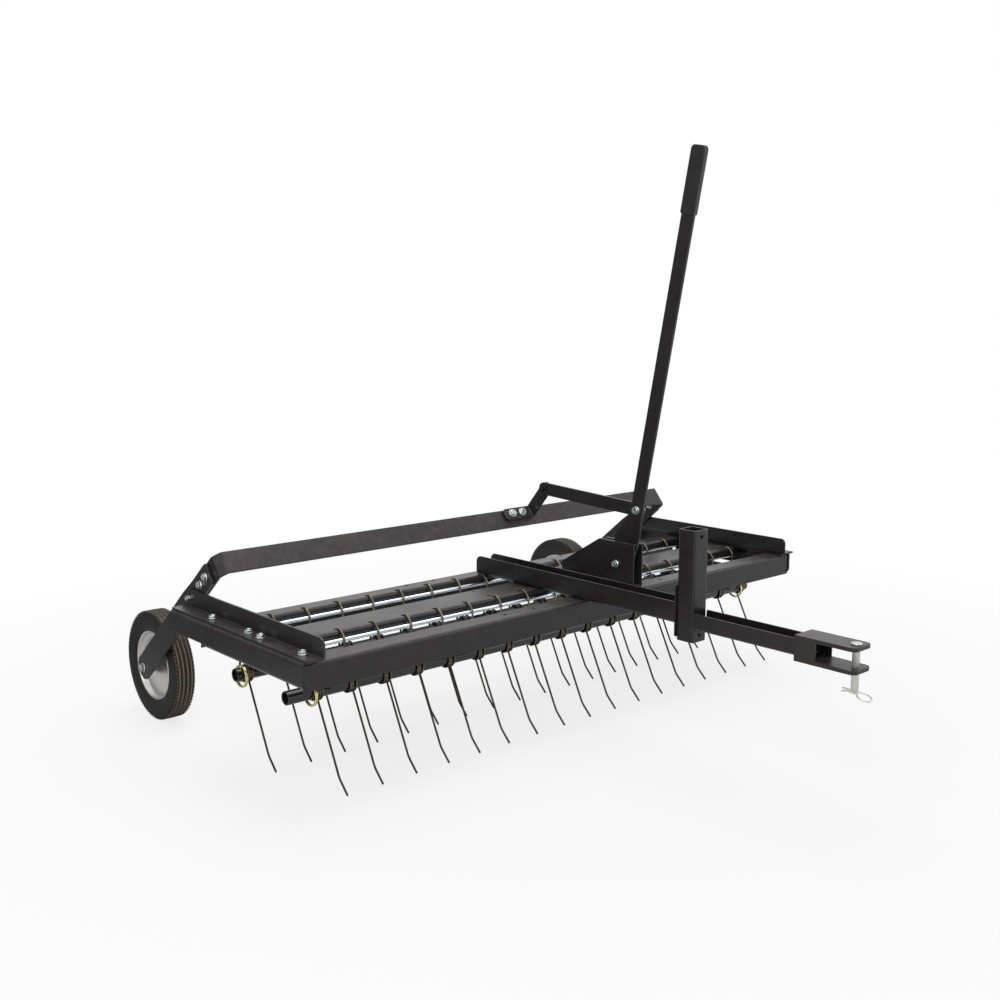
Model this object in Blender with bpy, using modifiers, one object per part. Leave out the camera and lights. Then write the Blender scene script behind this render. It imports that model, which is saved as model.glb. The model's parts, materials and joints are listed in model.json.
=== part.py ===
"""Tow-behind dethatcher: a steel deck with two rows of spring tines, a lift lever and two wheels.

Metres, +Z up, +X to one side, -Y towards the towing vehicle. Deck coordinates have their zero on the
middle of the deck, at the height of the deck strips' top faces.
"""
import math

import bmesh
import bpy
import numpy as np
from mathutils import Euler, Matrix, Vector

# Overall
DECK_HEIGHT = 0.290          # deck strips' top face above the ground
SEAT_GAP = 0.0003            # between pieces that touch
RUN_GAP = 0.0004             # between pieces that move past each other

# Tines and what carries them
TINE_COUNT = 17
TINE_PITCH = 0.0762
ROW_SPACING = 0.176          # rear row behind the front row
FRONT_ROW_SHIFT = 0.012
ROW_STAGGER = 0.0381
WIRE_R = 0.002
COIL_R = 0.0174
COIL_PITCH = 0.0049
COIL_TURNS = 2
LEG_START = math.radians(26.5)  # below the coil's rearmost point
LEG_UPPER = 0.149
LEG_LOWER = 0.040
LEG_KINK = math.radians(19)  # forward
HOOK_SHIFT = 0.0068          # hook and leg to the +X side of the tine's place in its row
COIL_SHIFT = 0.0012
ROD_R = 0.004
ROD_Z = -0.016
TUBE_R = 0.0127
TUBE_WALL = 0.0025
TUBE_SETBACK = 0.0235        # tube centre ahead of the rod centre
TUBE_Z = -0.090
TUBE_PAST_UPSTAND = 0.003    # tube ends outboard of the upstand angles' faces

# Deck strips
STRIP_SHEET = 0.003
STRIP_BEND = 0.005
END_MARGIN = 0.0263
FRONT_STRIP_WIDTH = 0.048
MIDDLE_STRIP_WIDTH = 0.086
REAR_STRIP_WIDTH = 0.046
RAIL_DEPTH = 0.048
LIP_DEPTH = 0.020
BACK_LIP_DEPTH = 0.010
SLOT_WIDTH = 0.089
HOOK_EDGE = 0.005            # front face of the lip that the front row's hooks reach into
ROD_TO_LIP = 0.0025
NOTCH_WIDTH = 0.008
NOTCH_LENGTH = 0.018
NOTCH_DEPTH = 0.011
SMALL_HOLE_R = 0.0035

# Side channels and upstand angles
CHANNEL_SHEET = 0.004
CHANNEL_BEND = 0.006
CHANNEL_MARGIN = 0.0110      # channel's outer face beyond the deck strips' ends
CHANNEL_DEPTH = 0.047
CHANNEL_FLANGE = 0.036
CHANNEL_LIP = 0.0095
CHANNEL_FRONT = -0.139
CHANNEL_REAR = 0.341
CHANNEL_STEP = 0.214
CHANNEL_STEP_HEIGHT = 0.005
UPSTAND_SHEET = 0.004
UPSTAND_HEIGHT = 0.0375
UPSTAND_FLANGE = 0.031
UPSTAND_FRONT = -0.146
UPSTAND_CORNER_R = 0.012
DECK_BOLT_EDGE = 0.013       # bolt line outboard of the upstand's outer face
DECK_BOLT_R = 0.004
DECK_BOLT_PLACES = (-0.103, 0.034, 0.076, 0.209)
BOLT_CLEARANCE = 0.0004

# Tine tube hangers
HANGER_SHEET = 0.004
HANGER_MARGIN = 0.008
HANGER_FOOT = 0.022
HANGER_WAIST = 0.030         # the plate's depth between its two tube saddles

# Tongue, mast and drawbar
TONGUE_HALF = 0.0225
TONGUE_HEIGHT = 0.042
TONGUE_SHEET = 0.003
TONGUE_BEND = 0.008
TONGUE_FRONT = -0.366
TONGUE_REAR = 0.201
TONGUE_CORNER_R = 0.014
END_PLATE_SHEET = 0.003
END_PLATE_BOTTOM = -0.025
END_PLATE_TOP = 0.075
MAST_SIDE = 0.039
MAST_WALL = 0.003
MAST_CORNER_R = 0.004
MAST_BOTTOM = -0.030
MAST_TOP = 0.180
MAST_HOLE_R = 0.0045
MAST_HOLE_INSET = 0.0130
DRAWBAR_HALF = 0.0227
DRAWBAR_HEIGHT = 0.031
DRAWBAR_Z = -0.0033
DRAWBAR_SHEET = 0.003
DRAWBAR_LENGTH = 0.242
CLEVIS_PLATE = 0.007
CLEVIS_WALL = 0.003
CLEVIS_OVERLAP = 0.020
CLEVIS_SLEEVE = 0.041
CLEVIS_LENGTH = 0.121
CLEVIS_CORNER_R = 0.010
PIN_R = 0.00635
PIN_HEAD_R = 0.0095
PIN_HEAD = 0.003
PIN_EDGE = 0.019             # pin axis to the clevis's front end
PIN_BELOW = 0.0375           # length below the lower ear
CLIP_WIRE_R = 0.0014
CLIP_ABOVE_END = 0.0055
CLIP_TAIL = 0.024
CLIP_NOSE = 0.022
CLIP_LOOP_R = 0.010

# Wheels
TYRE_R = 0.118
TYRE_WIDTH = 0.0404
RIM_R = 0.075
RIM_SHEET = 0.003
HUB_R = 0.0135
AXLE_R = 0.0055
WHEEL_SETBACK = 0.0367       # wheel's middle plane inboard of the arm's
GROOVE_DEPTH = 0.003
GROOVE_WIDTH = 0.0034
GROOVE_COUNT = 4

# Wheel arms, cross bar and crank
ARM_PIVOT_Y = 0.329
ARM_LENGTH = 0.3064
ARM_WIDTH = 0.045
ARM_THICK = 0.006
ARM_OVERHANG = 0.095
ARM_BOLT_R = 0.004
ARM_BOLT_SPACING = 0.030
PIVOT_BOLT_R = 0.005
CROSS_BAR_WIDTH = 0.046
CROSS_BAR_THICK = 0.005
CROSS_BAR_REACH = 0.128
CROSS_BAR_BEND = 0.012
CRANK_WIDTH = 0.029
CRANK_THICK = 0.006
CRANK_FOOT = 0.084
CRANK_BOLT_SPACING = 0.031

# Lever, link and bracket
LEVER_X = 0.1584
LEVER_PIVOT_Y = -0.065
LEVER_PIVOT_Z = 0.042
LEVER_THICK = 0.006
LEVER_WIDTH = 0.032
LEVER_LEAN = math.radians(11.15)
LEVER_LENGTH = 0.860
LINK_PIN_Y = -0.110
LINK_PIN_Z = 0.162
CRANK_PIN_Y = 0.180
CRANK_PIN_Z = 0.176
LINK_THICK = 0.006
LINK_WIDTH = 0.028
LINK_BOLT_R = 0.004
OPEN_PIVOT_PLAY = 0.0047     # the crank's hole round the link's bolt
GRIP_LENGTH = 0.131
GRIP_WALL = 0.0022
GRIP_OVER_END = 0.003
BRACKET_WIDTH = 0.029
BRACKET_SHEET = 0.003
BRACKET_FRONT = -0.115
BRACKET_SHOULDER = -0.014
BRACKET_REAR = 0.100
BRACKET_HEIGHT = 0.090
BRACKET_REAR_HEIGHT = 0.022
BRACKET_SLOT = 0.012
LEVER_BOLT_R = 0.005

# Values that follow from the ones above
STRIP_HALF = TINE_COUNT * TINE_PITCH / 2 + END_MARGIN
CHANNEL_HALF = STRIP_HALF + CHANNEL_MARGIN
ROD_Y = HOOK_EDGE - ROD_TO_LIP - ROD_R
TUBE_Y = ROD_Y - TUBE_SETBACK
FRONT_STRIP_REAR = HOOK_EDGE - SLOT_WIDTH
FRONT_STRIP_FRONT = FRONT_STRIP_REAR - FRONT_STRIP_WIDTH
UPSTAND_X = CHANNEL_HALF - CHANNEL_FLANGE
TUBE_HALF = UPSTAND_X + TUBE_PAST_UPSTAND
UPSTAND_FOOT_Z = CHANNEL_SHEET + 2 * SEAT_GAP
DECK_BOLT_X = UPSTAND_X + DECK_BOLT_EDGE
ARM_PIVOT_Z = UPSTAND_FOOT_Z + UPSTAND_HEIGHT / 2
AXLE_Z = TYRE_R - DECK_HEIGHT
ARM_ANGLE = math.asin((ARM_PIVOT_Z - AXLE_Z) / ARM_LENGTH)
AXLE_Y = ARM_PIVOT_Y + ARM_LENGTH * math.cos(ARM_ANGLE)
ARM_OUTER = UPSTAND_X - UPSTAND_SHEET - 2 * RUN_GAP
ARM_X = ARM_OUTER - ARM_THICK / 2
WHEEL_HALF_TRACK = ARM_X - WHEEL_SETBACK
MAST_Y = TONGUE_FRONT - END_PLATE_SHEET - 2 * SEAT_GAP - MAST_SIDE / 2
DRAWBAR_REAR = MAST_Y - MAST_SIDE / 2 - SEAT_GAP
DRAWBAR_FRONT = DRAWBAR_REAR - DRAWBAR_LENGTH
CLEVIS_REAR = DRAWBAR_FRONT + CLEVIS_OVERLAP
CLEVIS_FRONT = CLEVIS_REAR - CLEVIS_LENGTH
CLEVIS_BOTTOM = DRAWBAR_Z - SEAT_GAP - CLEVIS_PLATE
CLEVIS_TOP = DRAWBAR_Z + DRAWBAR_HEIGHT + SEAT_GAP + CLEVIS_PLATE
PIN_Y = CLEVIS_FRONT + PIN_EDGE
PIN_END = CLEVIS_BOTTOM - PIN_BELOW
CLIP_Z = PIN_END + CLIP_ABOVE_END
LINK_X = LEVER_X + LEVER_THICK / 2 + SEAT_GAP + LINK_THICK / 2
CRANK_X = LINK_X + LINK_THICK / 2 + SEAT_GAP + CRANK_THICK / 2
LENGTH_REAR = AXLE_Y + TYRE_R
LENGTH_FRONT = PIN_Y - CLIP_NOSE - CLIP_LOOP_R - CLIP_WIRE_R
CENTRE_Y = (LENGTH_REAR + LENGTH_FRONT) / 2

ALONG_X = (math.pi / 2, 0, math.pi / 2)   # outline's plane is Y-Z, its depth runs along X
ALONG_Y = (math.pi / 2, 0, 0)             # outline's plane is X-Z, its depth runs along Y

for old in list(bpy.data.objects):
    bpy.data.objects.remove(old, do_unlink=True)

parts = bpy.data.collections.new("tow_dethatcher")
cutters = bpy.data.collections.new("cutters")
bpy.context.scene.collection.children.link(parts)
bpy.context.scene.collection.children.link(cutters)


def material(name, colour, roughness, metallic):
    mat = bpy.data.materials.new(name)
    mat.use_nodes = True
    shader = mat.node_tree.nodes["Principled BSDF"]
    shader.inputs["Base Color"].default_value = (*colour, 1)
    shader.inputs["Roughness"].default_value = roughness
    shader.inputs["Metallic"].default_value = metallic
    return mat


BLACK_PAINT = material("black_powder_coat", (0.022, 0.021, 0.021), 0.42, 0.0)
DARK_TUBE = material("black_tube", (0.012, 0.012, 0.013), 0.3, 0.0)
ZINC = material("zinc_plate", (0.62, 0.65, 0.68), 0.28, 1.0)
SPRING = material("oiled_spring_steel", (0.16, 0.14, 0.09), 0.4, 0.9)
RIM_PAINT = material("silver_rim", (0.55, 0.55, 0.56), 0.4, 0.7)
RUBBER = material("black_rubber", (0.02, 0.02, 0.021), 0.75, 0.0)
GRIP_VINYL = material("black_vinyl", (0.012, 0.012, 0.013), 0.5, 0.0)


def empty(name, place, parent=None, turn=(0, 0, 0)):
    obj = bpy.data.objects.new(name, None)
    parts.objects.link(obj)
    obj.location = place
    obj.rotation_euler = turn
    obj.parent = parent
    return obj


deck = empty("deck_zero", (0, -CENTRE_Y, DECK_HEIGHT))
yoke_axis = empty("yoke_axis", (0, ARM_PIVOT_Y, ARM_PIVOT_Z), deck, (-ARM_ANGLE, 0, 0))
lever_axis = empty("lever_axis", (LEVER_X, LEVER_PIVOT_Y, LEVER_PIVOT_Z), deck)
link_axis = empty("link_axis", (LINK_X, LINK_PIN_Y, LINK_PIN_Z), deck)
hitch_axis = empty("hitch_axis", (0, PIN_Y, CLEVIS_TOP), deck)


def finish(obj, name, mat, parent=deck, smooth=True):
    obj.name = name
    obj.data.name = name
    obj.parent = parent
    obj.data.materials.clear()
    obj.data.materials.append(mat)
    if smooth:
        obj.data.shade_smooth()
        obj.data.set_sharp_from_angle(angle=math.radians(35))
    return obj


def clean_mesh(data):
    mesh = bmesh.new()
    mesh.from_mesh(data)
    bmesh.ops.remove_doubles(mesh, verts=mesh.verts, dist=1e-6)
    bmesh.ops.recalc_face_normals(mesh, faces=mesh.faces)
    mesh.to_mesh(data)
    mesh.free()


def as_mesh(obj):
    """The curve as a mesh object, with its caps joined to its sides."""
    bpy.context.view_layer.update()
    seen = obj.evaluated_get(bpy.context.evaluated_depsgraph_get())
    data = bpy.data.meshes.new_from_object(seen)
    clean_mesh(data)
    made = bpy.data.objects.new(obj.name, data)
    made.matrix_world = obj.matrix_world
    parts.objects.link(made)
    bpy.data.objects.remove(obj, do_unlink=True)
    return made


def outline_solid(loops, depth, turn=(0, 0, 0), place=(0, 0, 0)):
    """A flat outline, with its holes, made into a plate or a bar of the given depth."""
    curve = bpy.data.curves.new("outline", "CURVE")
    curve.dimensions = "2D"
    curve.fill_mode = "BOTH"
    curve.extrude = depth / 2
    for loop in loops:
        spline = curve.splines.new("POLY")
        spline.points.add(len(loop) - 1)
        for point, (u, v) in zip(spline.points, loop):
            point.co = (u, v, 0, 1)
        spline.use_cyclic_u = True
    obj = bpy.data.objects.new("outline", curve)
    parts.objects.link(obj)
    obj.rotation_euler = turn
    obj.location = place
    return as_mesh(obj)


def circle(u, v, radius, count=12):
    return [(u + radius * math.cos(2 * math.pi * (k + 0.5) / count),
             v + radius * math.sin(2 * math.pi * (k + 0.5) / count)) for k in range(count)]


def hole(u, v, radius, count=10):
    """A hole's outline whose flats keep the radius, so a round pin of that radius fits."""
    return circle(u, v, radius / math.cos(math.pi / count), count)


def rounded(corners, steps=3):
    """An outline whose corners (u, v, radius) are rounded; a radius of 0 leaves a corner sharp."""
    made = []
    count = len(corners)
    for k, (u, v, radius) in enumerate(corners):
        if radius <= 0:
            made.append((u, v))
            continue
        here = complex(u, v)
        before = complex(*corners[k - 1][:2]) - here
        after = complex(*corners[(k + 1) % count][:2]) - here
        before /= abs(before)
        after /= abs(after)
        half = math.acos(max(-1, min(1, (before * after.conjugate()).real))) / 2
        way = before + after
        centre = here + way / abs(way) * radius / math.sin(half)
        start = here + before * radius / math.tan(half) - centre
        stop = here + after * radius / math.tan(half) - centre
        turn = stop / start
        sweep = math.atan2(turn.imag, turn.real)
        for step in range(steps + 1):
            angle = sweep * step / steps
            point = centre + start * complex(math.cos(angle), math.sin(angle))
            made.append((point.real, point.imag))
    return made


def sheet_section(path, thick, bend, steps=3):
    """The outline of bent sheet whose mid-surface follows path; bend is the mid-surface radius."""
    points = [complex(*p) for p in path]
    ways = [(b - a) / abs(b - a) for a, b in zip(points, points[1:])]
    left = []
    right = []
    for k, point in enumerate(points):
        if k == 0 or k == len(points) - 1:
            normal = ways[min(k, len(ways) - 1)] * 1j
            radii = (0, 0)
        else:
            normal = (ways[k - 1] + ways[k]) * 1j
            normal = normal / (1 + (ways[k - 1] * ways[k].conjugate()).real)
            turn = (ways[k] / ways[k - 1]).imag
            inner, outer = bend - thick / 2, bend + thick / 2
            radii = (inner, outer) if turn > 0 else (outer, inner)
        a = point + normal * thick / 2
        b = point - normal * thick / 2
        left.append((a.real, a.imag, radii[0]))
        right.append((b.real, b.imag, radii[1]))
    return rounded(left + right[::-1], steps)


def turned(profile, segments, turn=(0, 0, 0), place=(0, 0, 0)):
    """A turned piece from its (radius, height) profile, which runs down its outer side."""
    data = bpy.data.meshes.new("turned")
    closed = profile[0][0] > 1e-7
    count = len(profile)
    edges = [(k, (k + 1) % count) for k in range(count if closed else count - 1)]
    data.from_pydata([(r, 0, z) for r, z in profile], edges, [])
    obj = bpy.data.objects.new("turned", data)
    parts.objects.link(obj)
    screw = obj.modifiers.new("turn", "SCREW")
    screw.steps = segments
    screw.render_steps = segments
    screw.use_merge_vertices = True
    screw.merge_threshold = 0.00001
    obj.rotation_euler = turn
    obj.location = place
    return as_mesh(obj)


def wire(paths, radius, parent=None):
    """One round wire, or several, along their points."""
    curve = bpy.data.curves.new("wire", "CURVE")
    curve.dimensions = "3D"
    curve.bevel_depth = radius
    curve.bevel_resolution = 1
    curve.use_fill_caps = True
    for path in paths:
        spline = curve.splines.new("POLY")
        spline.points.add(len(path) - 1)
        for point, place in zip(spline.points, path):
            point.co = (*place, 1)
    obj = bpy.data.objects.new("wire", curve)
    parts.objects.link(obj)
    return as_mesh(obj)


def bars(items):
    """Boxes, each (low corner, high corner), in one mesh."""
    mesh = bmesh.new()
    for low, high in items:
        low, high = Vector(low), Vector(high)
        where = Matrix.Translation((low + high) / 2) @ Matrix.Diagonal((*(high - low), 1))
        bmesh.ops.create_cube(mesh, size=1, matrix=where)
    return from_bmesh(mesh)


def pegs(places, radius, length, turn=(0, 0, 0), segments=10):
    """Cylinders centred on places, in one mesh."""
    mesh = bmesh.new()
    for place in places:
        where = Matrix.Translation(place) @ Euler(turn).to_matrix().to_4x4()
        bmesh.ops.create_cone(mesh, cap_ends=True, segments=segments, radius1=radius,
                              radius2=radius, depth=length, matrix=where)
    return from_bmesh(mesh)


def drills(places, radius, length, turn=(0, 0, 0), segments=6):
    """Drilled holes that a round pin of the radius fits."""
    return pegs(places, radius / math.cos(math.pi / segments), length, turn, segments)


def from_bmesh(mesh):
    data = bpy.data.meshes.new("shape")
    bmesh.ops.recalc_face_normals(mesh, faces=mesh.faces)
    mesh.to_mesh(data)
    mesh.free()
    obj = bpy.data.objects.new("shape", data)
    parts.objects.link(obj)
    return obj


def combine(obj, tool, operation, parent=None):
    """A live Boolean; its tool waits, hidden from renders, among the cutters."""
    tool.parent = parent
    parts.objects.unlink(tool)
    cutters.objects.link(tool)
    tool.hide_render = True
    tool.display_type = "WIRE"
    tool.name = "tool_" + operation.lower()
    step = obj.modifiers.new(operation.lower(), "BOOLEAN")
    step.operation = operation
    step.solver = "EXACT"
    step.object = tool
    return obj


TO_X = (0, math.pi / 2, 0)        # a peg or bolt whose +Z points along +X
TO_MINUS_X = (0, -math.pi / 2, 0)
TO_Y = (-math.pi / 2, 0, 0)


def bolt(name, place, turn, grip, radius, parent=deck, nut=True):
    """A hex bolt whose head seats at place, with its nut at grip below it."""
    across = radius * 1.95
    below = -grip - SEAT_GAP
    profile = [(0, radius * 1.5), (across, radius * 1.5), (across, SEAT_GAP), (radius, SEAT_GAP)]
    if nut:
        profile += [(radius, below), (across, below), (across, below - radius * 1.7),
                    (0, below - radius * 1.7)]
    else:
        profile += [(radius, below - radius), (0, below - radius)]
    return finish(turned(profile, 6, turn, place), name, ZINC, parent)


# Tines
def tine_path(x, row_y):
    """The wire of one tine: hook over the rod, riser, coil round the tube, then the leg."""
    total = 2 * math.pi * COIL_TURNS + LEG_START
    steps = 16
    inner = COIL_R * math.cos(total / steps / 2) - WIRE_R
    centre_y = row_y - TUBE_SETBACK
    centre_z = TUBE_Z + TUBE_R + RUN_GAP - inner
    rise_y = row_y - ROD_R - WIRE_R * 0.3
    path = [(x + HOOK_SHIFT, row_y + ROD_R + ROD_TO_LIP + STRIP_SHEET * 4.5, -STRIP_SHEET),
            (x + HOOK_SHIFT, rise_y, ROD_Z + ROD_R + WIRE_R * 1.25)]
    for k in range(steps + 1):
        angle = -total * k / steps
        path.append((x + COIL_SHIFT - angle / (2 * math.pi) * COIL_PITCH,
                     centre_y + COIL_R * math.cos(angle), centre_z + COIL_R * math.sin(angle)))
    way = -math.pi / 2 - LEG_START
    for length, turn in ((LEG_UPPER, 0), (LEG_LOWER, -LEG_KINK)):
        px, py, pz = path[-1]
        path.append((px + 0.0004, py + length * math.cos(way + turn), pz + length * math.sin(way + turn)))
    return path


def least_gap(path, radius):
    """The smallest distance between parts of the wire that aren't neighbours along it."""
    points = []
    for a, b in zip(path, path[1:]):
        a, b = np.array(a), np.array(b)
        count = max(2, int(np.linalg.norm(b - a) / 0.0008))
        points += [a + (b - a) * k / count for k in range(count)]
    points = np.array(points)
    along = np.concatenate([[0], np.cumsum(np.linalg.norm(np.diff(points, axis=0), axis=1))])
    apart = np.linalg.norm(points[:, None] - points[None], axis=2)
    apart[np.abs(along[:, None] - along[None]) < 8 * radius] = 1
    return apart.min() - 2 * radius


def place_in_row(k, shift):
    return shift + (k - (TINE_COUNT - 1) / 2) * TINE_PITCH


ROWS = (("front", FRONT_ROW_SHIFT, 0), ("rear", FRONT_ROW_SHIFT - ROW_STAGGER, ROW_SPACING))
ROD_HALF = CHANNEL_HALF - CHANNEL_SHEET - SEAT_GAP
notches = {}
for row, shift, back in ROWS:
    places = [place_in_row(k, shift) for k in range(TINE_COUNT)]
    paths = [tine_path(x, ROD_Y + back) for x in places]
    print("least gap of a tine's wire to itself: %.2f mm" % (least_gap(paths[0], WIRE_R) * 1000))
    wires = wire(paths, WIRE_R)
    rod = pegs([(0, ROD_Y + back, ROD_Z)], ROD_R, 2 * ROD_HALF, TO_X, 6)
    combine(rod, wires, "UNION", deck)
    finish(rod, "tine_row_" + row, SPRING)
    notches[row] = [((x + HOOK_SHIFT - NOTCH_WIDTH / 2, HOOK_EDGE + back - 0.001, -NOTCH_DEPTH),
                     (x + HOOK_SHIFT + NOTCH_WIDTH / 2, HOOK_EDGE + back + NOTCH_LENGTH, 0.001))
                    for x in places]
    tube = outline_solid([circle(0, 0, TUBE_R, 16), circle(0, 0, TUBE_R - TUBE_WALL, 12)],
                         2 * TUBE_HALF, ALONG_X, (0, TUBE_Y + back, TUBE_Z))
    finish(tube, "tine_tube_" + row, DARK_TUBE)


# Deck strips
def strip(name, front, width, front_depth, back_depth, small_holes, cuts=None):
    half = STRIP_SHEET / 2
    path = [(front + half, -front_depth), (front + half, -half),
            (front + width - half, -half), (front + width - half, -back_depth)]
    obj = outline_solid([sheet_section(path, STRIP_SHEET, STRIP_BEND, 1)], 2 * STRIP_HALF, ALONG_X)
    bolts = [(side * DECK_BOLT_X, y, -half) for y in DECK_BOLT_PLACES if front < y < front + width
             for side in (-1, 1)]
    combine(obj, drills(bolts, DECK_BOLT_R + BOLT_CLEARANCE, 4 * STRIP_SHEET), "DIFFERENCE", deck)
    holes = [(x, y, -half) for x, y in small_holes]
    combine(obj, pegs(holes, SMALL_HOLE_R, 4 * STRIP_SHEET, segments=6), "DIFFERENCE", deck)
    if cuts:
        combine(obj, bars(cuts), "DIFFERENCE", deck)
    return finish(obj, name, BLACK_PAINT)


FRONT_HOLE_LINE = FRONT_STRIP_FRONT + FRONT_STRIP_WIDTH / 2
REAR_STRIP_FRONT = HOOK_EDGE + ROW_SPACING
strip("strip_front", FRONT_STRIP_FRONT, FRONT_STRIP_WIDTH, RAIL_DEPTH, BACK_LIP_DEPTH,
      [(x, FRONT_HOLE_LINE) for x in (-0.214, -0.138, 0.179, 0.241)])
strip("strip_middle", HOOK_EDGE, MIDDLE_STRIP_WIDTH, LIP_DEPTH, BACK_LIP_DEPTH,
      [(-0.137, HOOK_EDGE + MIDDLE_STRIP_WIDTH * part) for part in (0.28, 0.81)], notches["front"])
strip("strip_rear", REAR_STRIP_FRONT, REAR_STRIP_WIDTH, LIP_DEPTH, RAIL_DEPTH,
      [(x, REAR_STRIP_FRONT + REAR_STRIP_WIDTH * 0.7) for x in (-0.208, -0.134, 0.253)], notches["rear"])

# Side channels, upstands and deck bolts
for side, word in ((-1, "left"), (1, "right")):
    half = CHANNEL_SHEET / 2
    top = SEAT_GAP + half
    bottom = SEAT_GAP + CHANNEL_SHEET - CHANNEL_DEPTH + half
    path = [(side * UPSTAND_X, top), (side * (CHANNEL_HALF - half), top),
            (side * (CHANNEL_HALF - half), bottom), (side * (CHANNEL_HALF - CHANNEL_LIP), bottom)]
    length = CHANNEL_REAR - CHANNEL_FRONT
    channel = outline_solid([sheet_section(path, CHANNEL_SHEET, CHANNEL_BEND, 4)], length, ALONG_Y,
                            (0, (CHANNEL_FRONT + CHANNEL_REAR) / 2, 0))
    step = bars([((side * CHANNEL_HALF - 0.02, CHANNEL_STEP, bottom - 0.02),
                  (side * CHANNEL_HALF + 0.02, CHANNEL_REAR + 0.01, bottom - half + CHANNEL_STEP_HEIGHT))])
    combine(channel, step, "DIFFERENCE", deck)
    holes = [(side * DECK_BOLT_X, y, top) for y in DECK_BOLT_PLACES]
    combine(channel, drills(holes, DECK_BOLT_R + BOLT_CLEARANCE, 3 * CHANNEL_SHEET),
            "DIFFERENCE", deck)
    finish(channel, "side_channel_" + word, BLACK_PAINT)

    half = UPSTAND_SHEET / 2
    path = [(side * (UPSTAND_X - half), UPSTAND_FOOT_Z + UPSTAND_HEIGHT + 0.002),
            (side * (UPSTAND_X - half), UPSTAND_FOOT_Z + half),
            (side * (UPSTAND_X + UPSTAND_FLANGE), UPSTAND_FOOT_Z + half)]
    rear = ARM_PIVOT_Y + UPSTAND_HEIGHT / 2
    length = rear - UPSTAND_FRONT + 0.01
    upstand = outline_solid([sheet_section(path, UPSTAND_SHEET, UPSTAND_SHEET, 2)], length, ALONG_Y,
                            (0, (rear + UPSTAND_FRONT) / 2, 0))
    low = UPSTAND_FOOT_Z - 0.001
    high = UPSTAND_FOOT_Z + UPSTAND_HEIGHT
    end_r = (high - low) / 2 * 0.999
    shape = rounded([(UPSTAND_FRONT, low, 0), (rear, low, end_r), (rear, high, end_r),
                     (UPSTAND_FRONT, high, UPSTAND_CORNER_R)], 4)
    envelope = outline_solid([shape, hole(ARM_PIVOT_Y, ARM_PIVOT_Z, PIVOT_BOLT_R + BOLT_CLEARANCE, 8)],
                             3 * UPSTAND_FLANGE, ALONG_X, (side * UPSTAND_X, 0, 0))
    combine(upstand, envelope, "INTERSECT", deck)
    holes = [(side * DECK_BOLT_X, y, UPSTAND_FOOT_Z) for y in DECK_BOLT_PLACES]
    combine(upstand, drills(holes, DECK_BOLT_R + BOLT_CLEARANCE, 4 * UPSTAND_SHEET),
            "DIFFERENCE", deck)
    finish(upstand, "upstand_" + word, BLACK_PAINT)
    seat = UPSTAND_FOOT_Z + UPSTAND_SHEET
    for number, y in enumerate(DECK_BOLT_PLACES, 1):
        bolt("deck_bolt_%s_%d" % (word, number), (side * DECK_BOLT_X, y, seat), (0, 0, 0),
             seat + STRIP_SHEET, DECK_BOLT_R, nut=False)

    # The hanger stands between two tines of each row
    inner = place_in_row(1, FRONT_ROW_SHIFT - ROW_STAGGER) if side < 0 else place_in_row(
        TINE_COUNT - 2, FRONT_ROW_SHIFT) + COIL_SHIFT + COIL_PITCH * 2.1
    outer = place_in_row(0, FRONT_ROW_SHIFT) + COIL_SHIFT + COIL_PITCH * 2.1 if side < 0 else place_in_row(
        TINE_COUNT - 1, FRONT_ROW_SHIFT - ROW_STAGGER)
    hanger_x = (inner + outer) / 2
    tab_front = HOOK_EDGE + STRIP_SHEET + 0.005
    tab_rear = HOOK_EDGE + MIDDLE_STRIP_WIDTH - STRIP_SHEET - 0.005
    under = -STRIP_SHEET - SEAT_GAP
    shelf = -LIP_DEPTH - 0.004
    reach = TUBE_R + HANGER_MARGIN
    saddle = TUBE_Z + 0.004
    shape = rounded([(tab_front, under, 0), (tab_rear, under, 0), (tab_rear, shelf, 0.004),
                     (TUBE_Y + ROW_SPACING + reach, shelf, 0.008),
                     (TUBE_Y + ROW_SPACING + reach, saddle, 0), (TUBE_Y + ROW_SPACING - reach, saddle, 0),
                     (TUBE_Y + ROW_SPACING - reach, shelf - HANGER_WAIST, 0.006),
                     (TUBE_Y + reach, shelf - HANGER_WAIST, 0.006), (TUBE_Y + reach, saddle, 0),
                     (TUBE_Y - reach, saddle, 0), (TUBE_Y - reach, shelf, 0.008),
                     (tab_front, shelf, 0.004)], 2)
    hanger = outline_solid([shape], HANGER_SHEET, ALONG_X, (hanger_x, 0, 0))
    foot = bars([((hanger_x - HANGER_FOOT / 2, tab_front + 0.002, under - HANGER_SHEET),
                  (hanger_x + HANGER_FOOT / 2, tab_rear - 0.002, under - 0.0001))])
    combine(hanger, foot, "UNION", deck)
    saddles = [(hanger_x, TUBE_Y + back, TUBE_Z) for back in (0, ROW_SPACING)]
    combine(hanger, drills(saddles, TUBE_R + SEAT_GAP, 4 * HANGER_SHEET, TO_X, 16), "DIFFERENCE", deck)
    finish(hanger, "tube_hanger_" + word, BLACK_PAINT)

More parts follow.
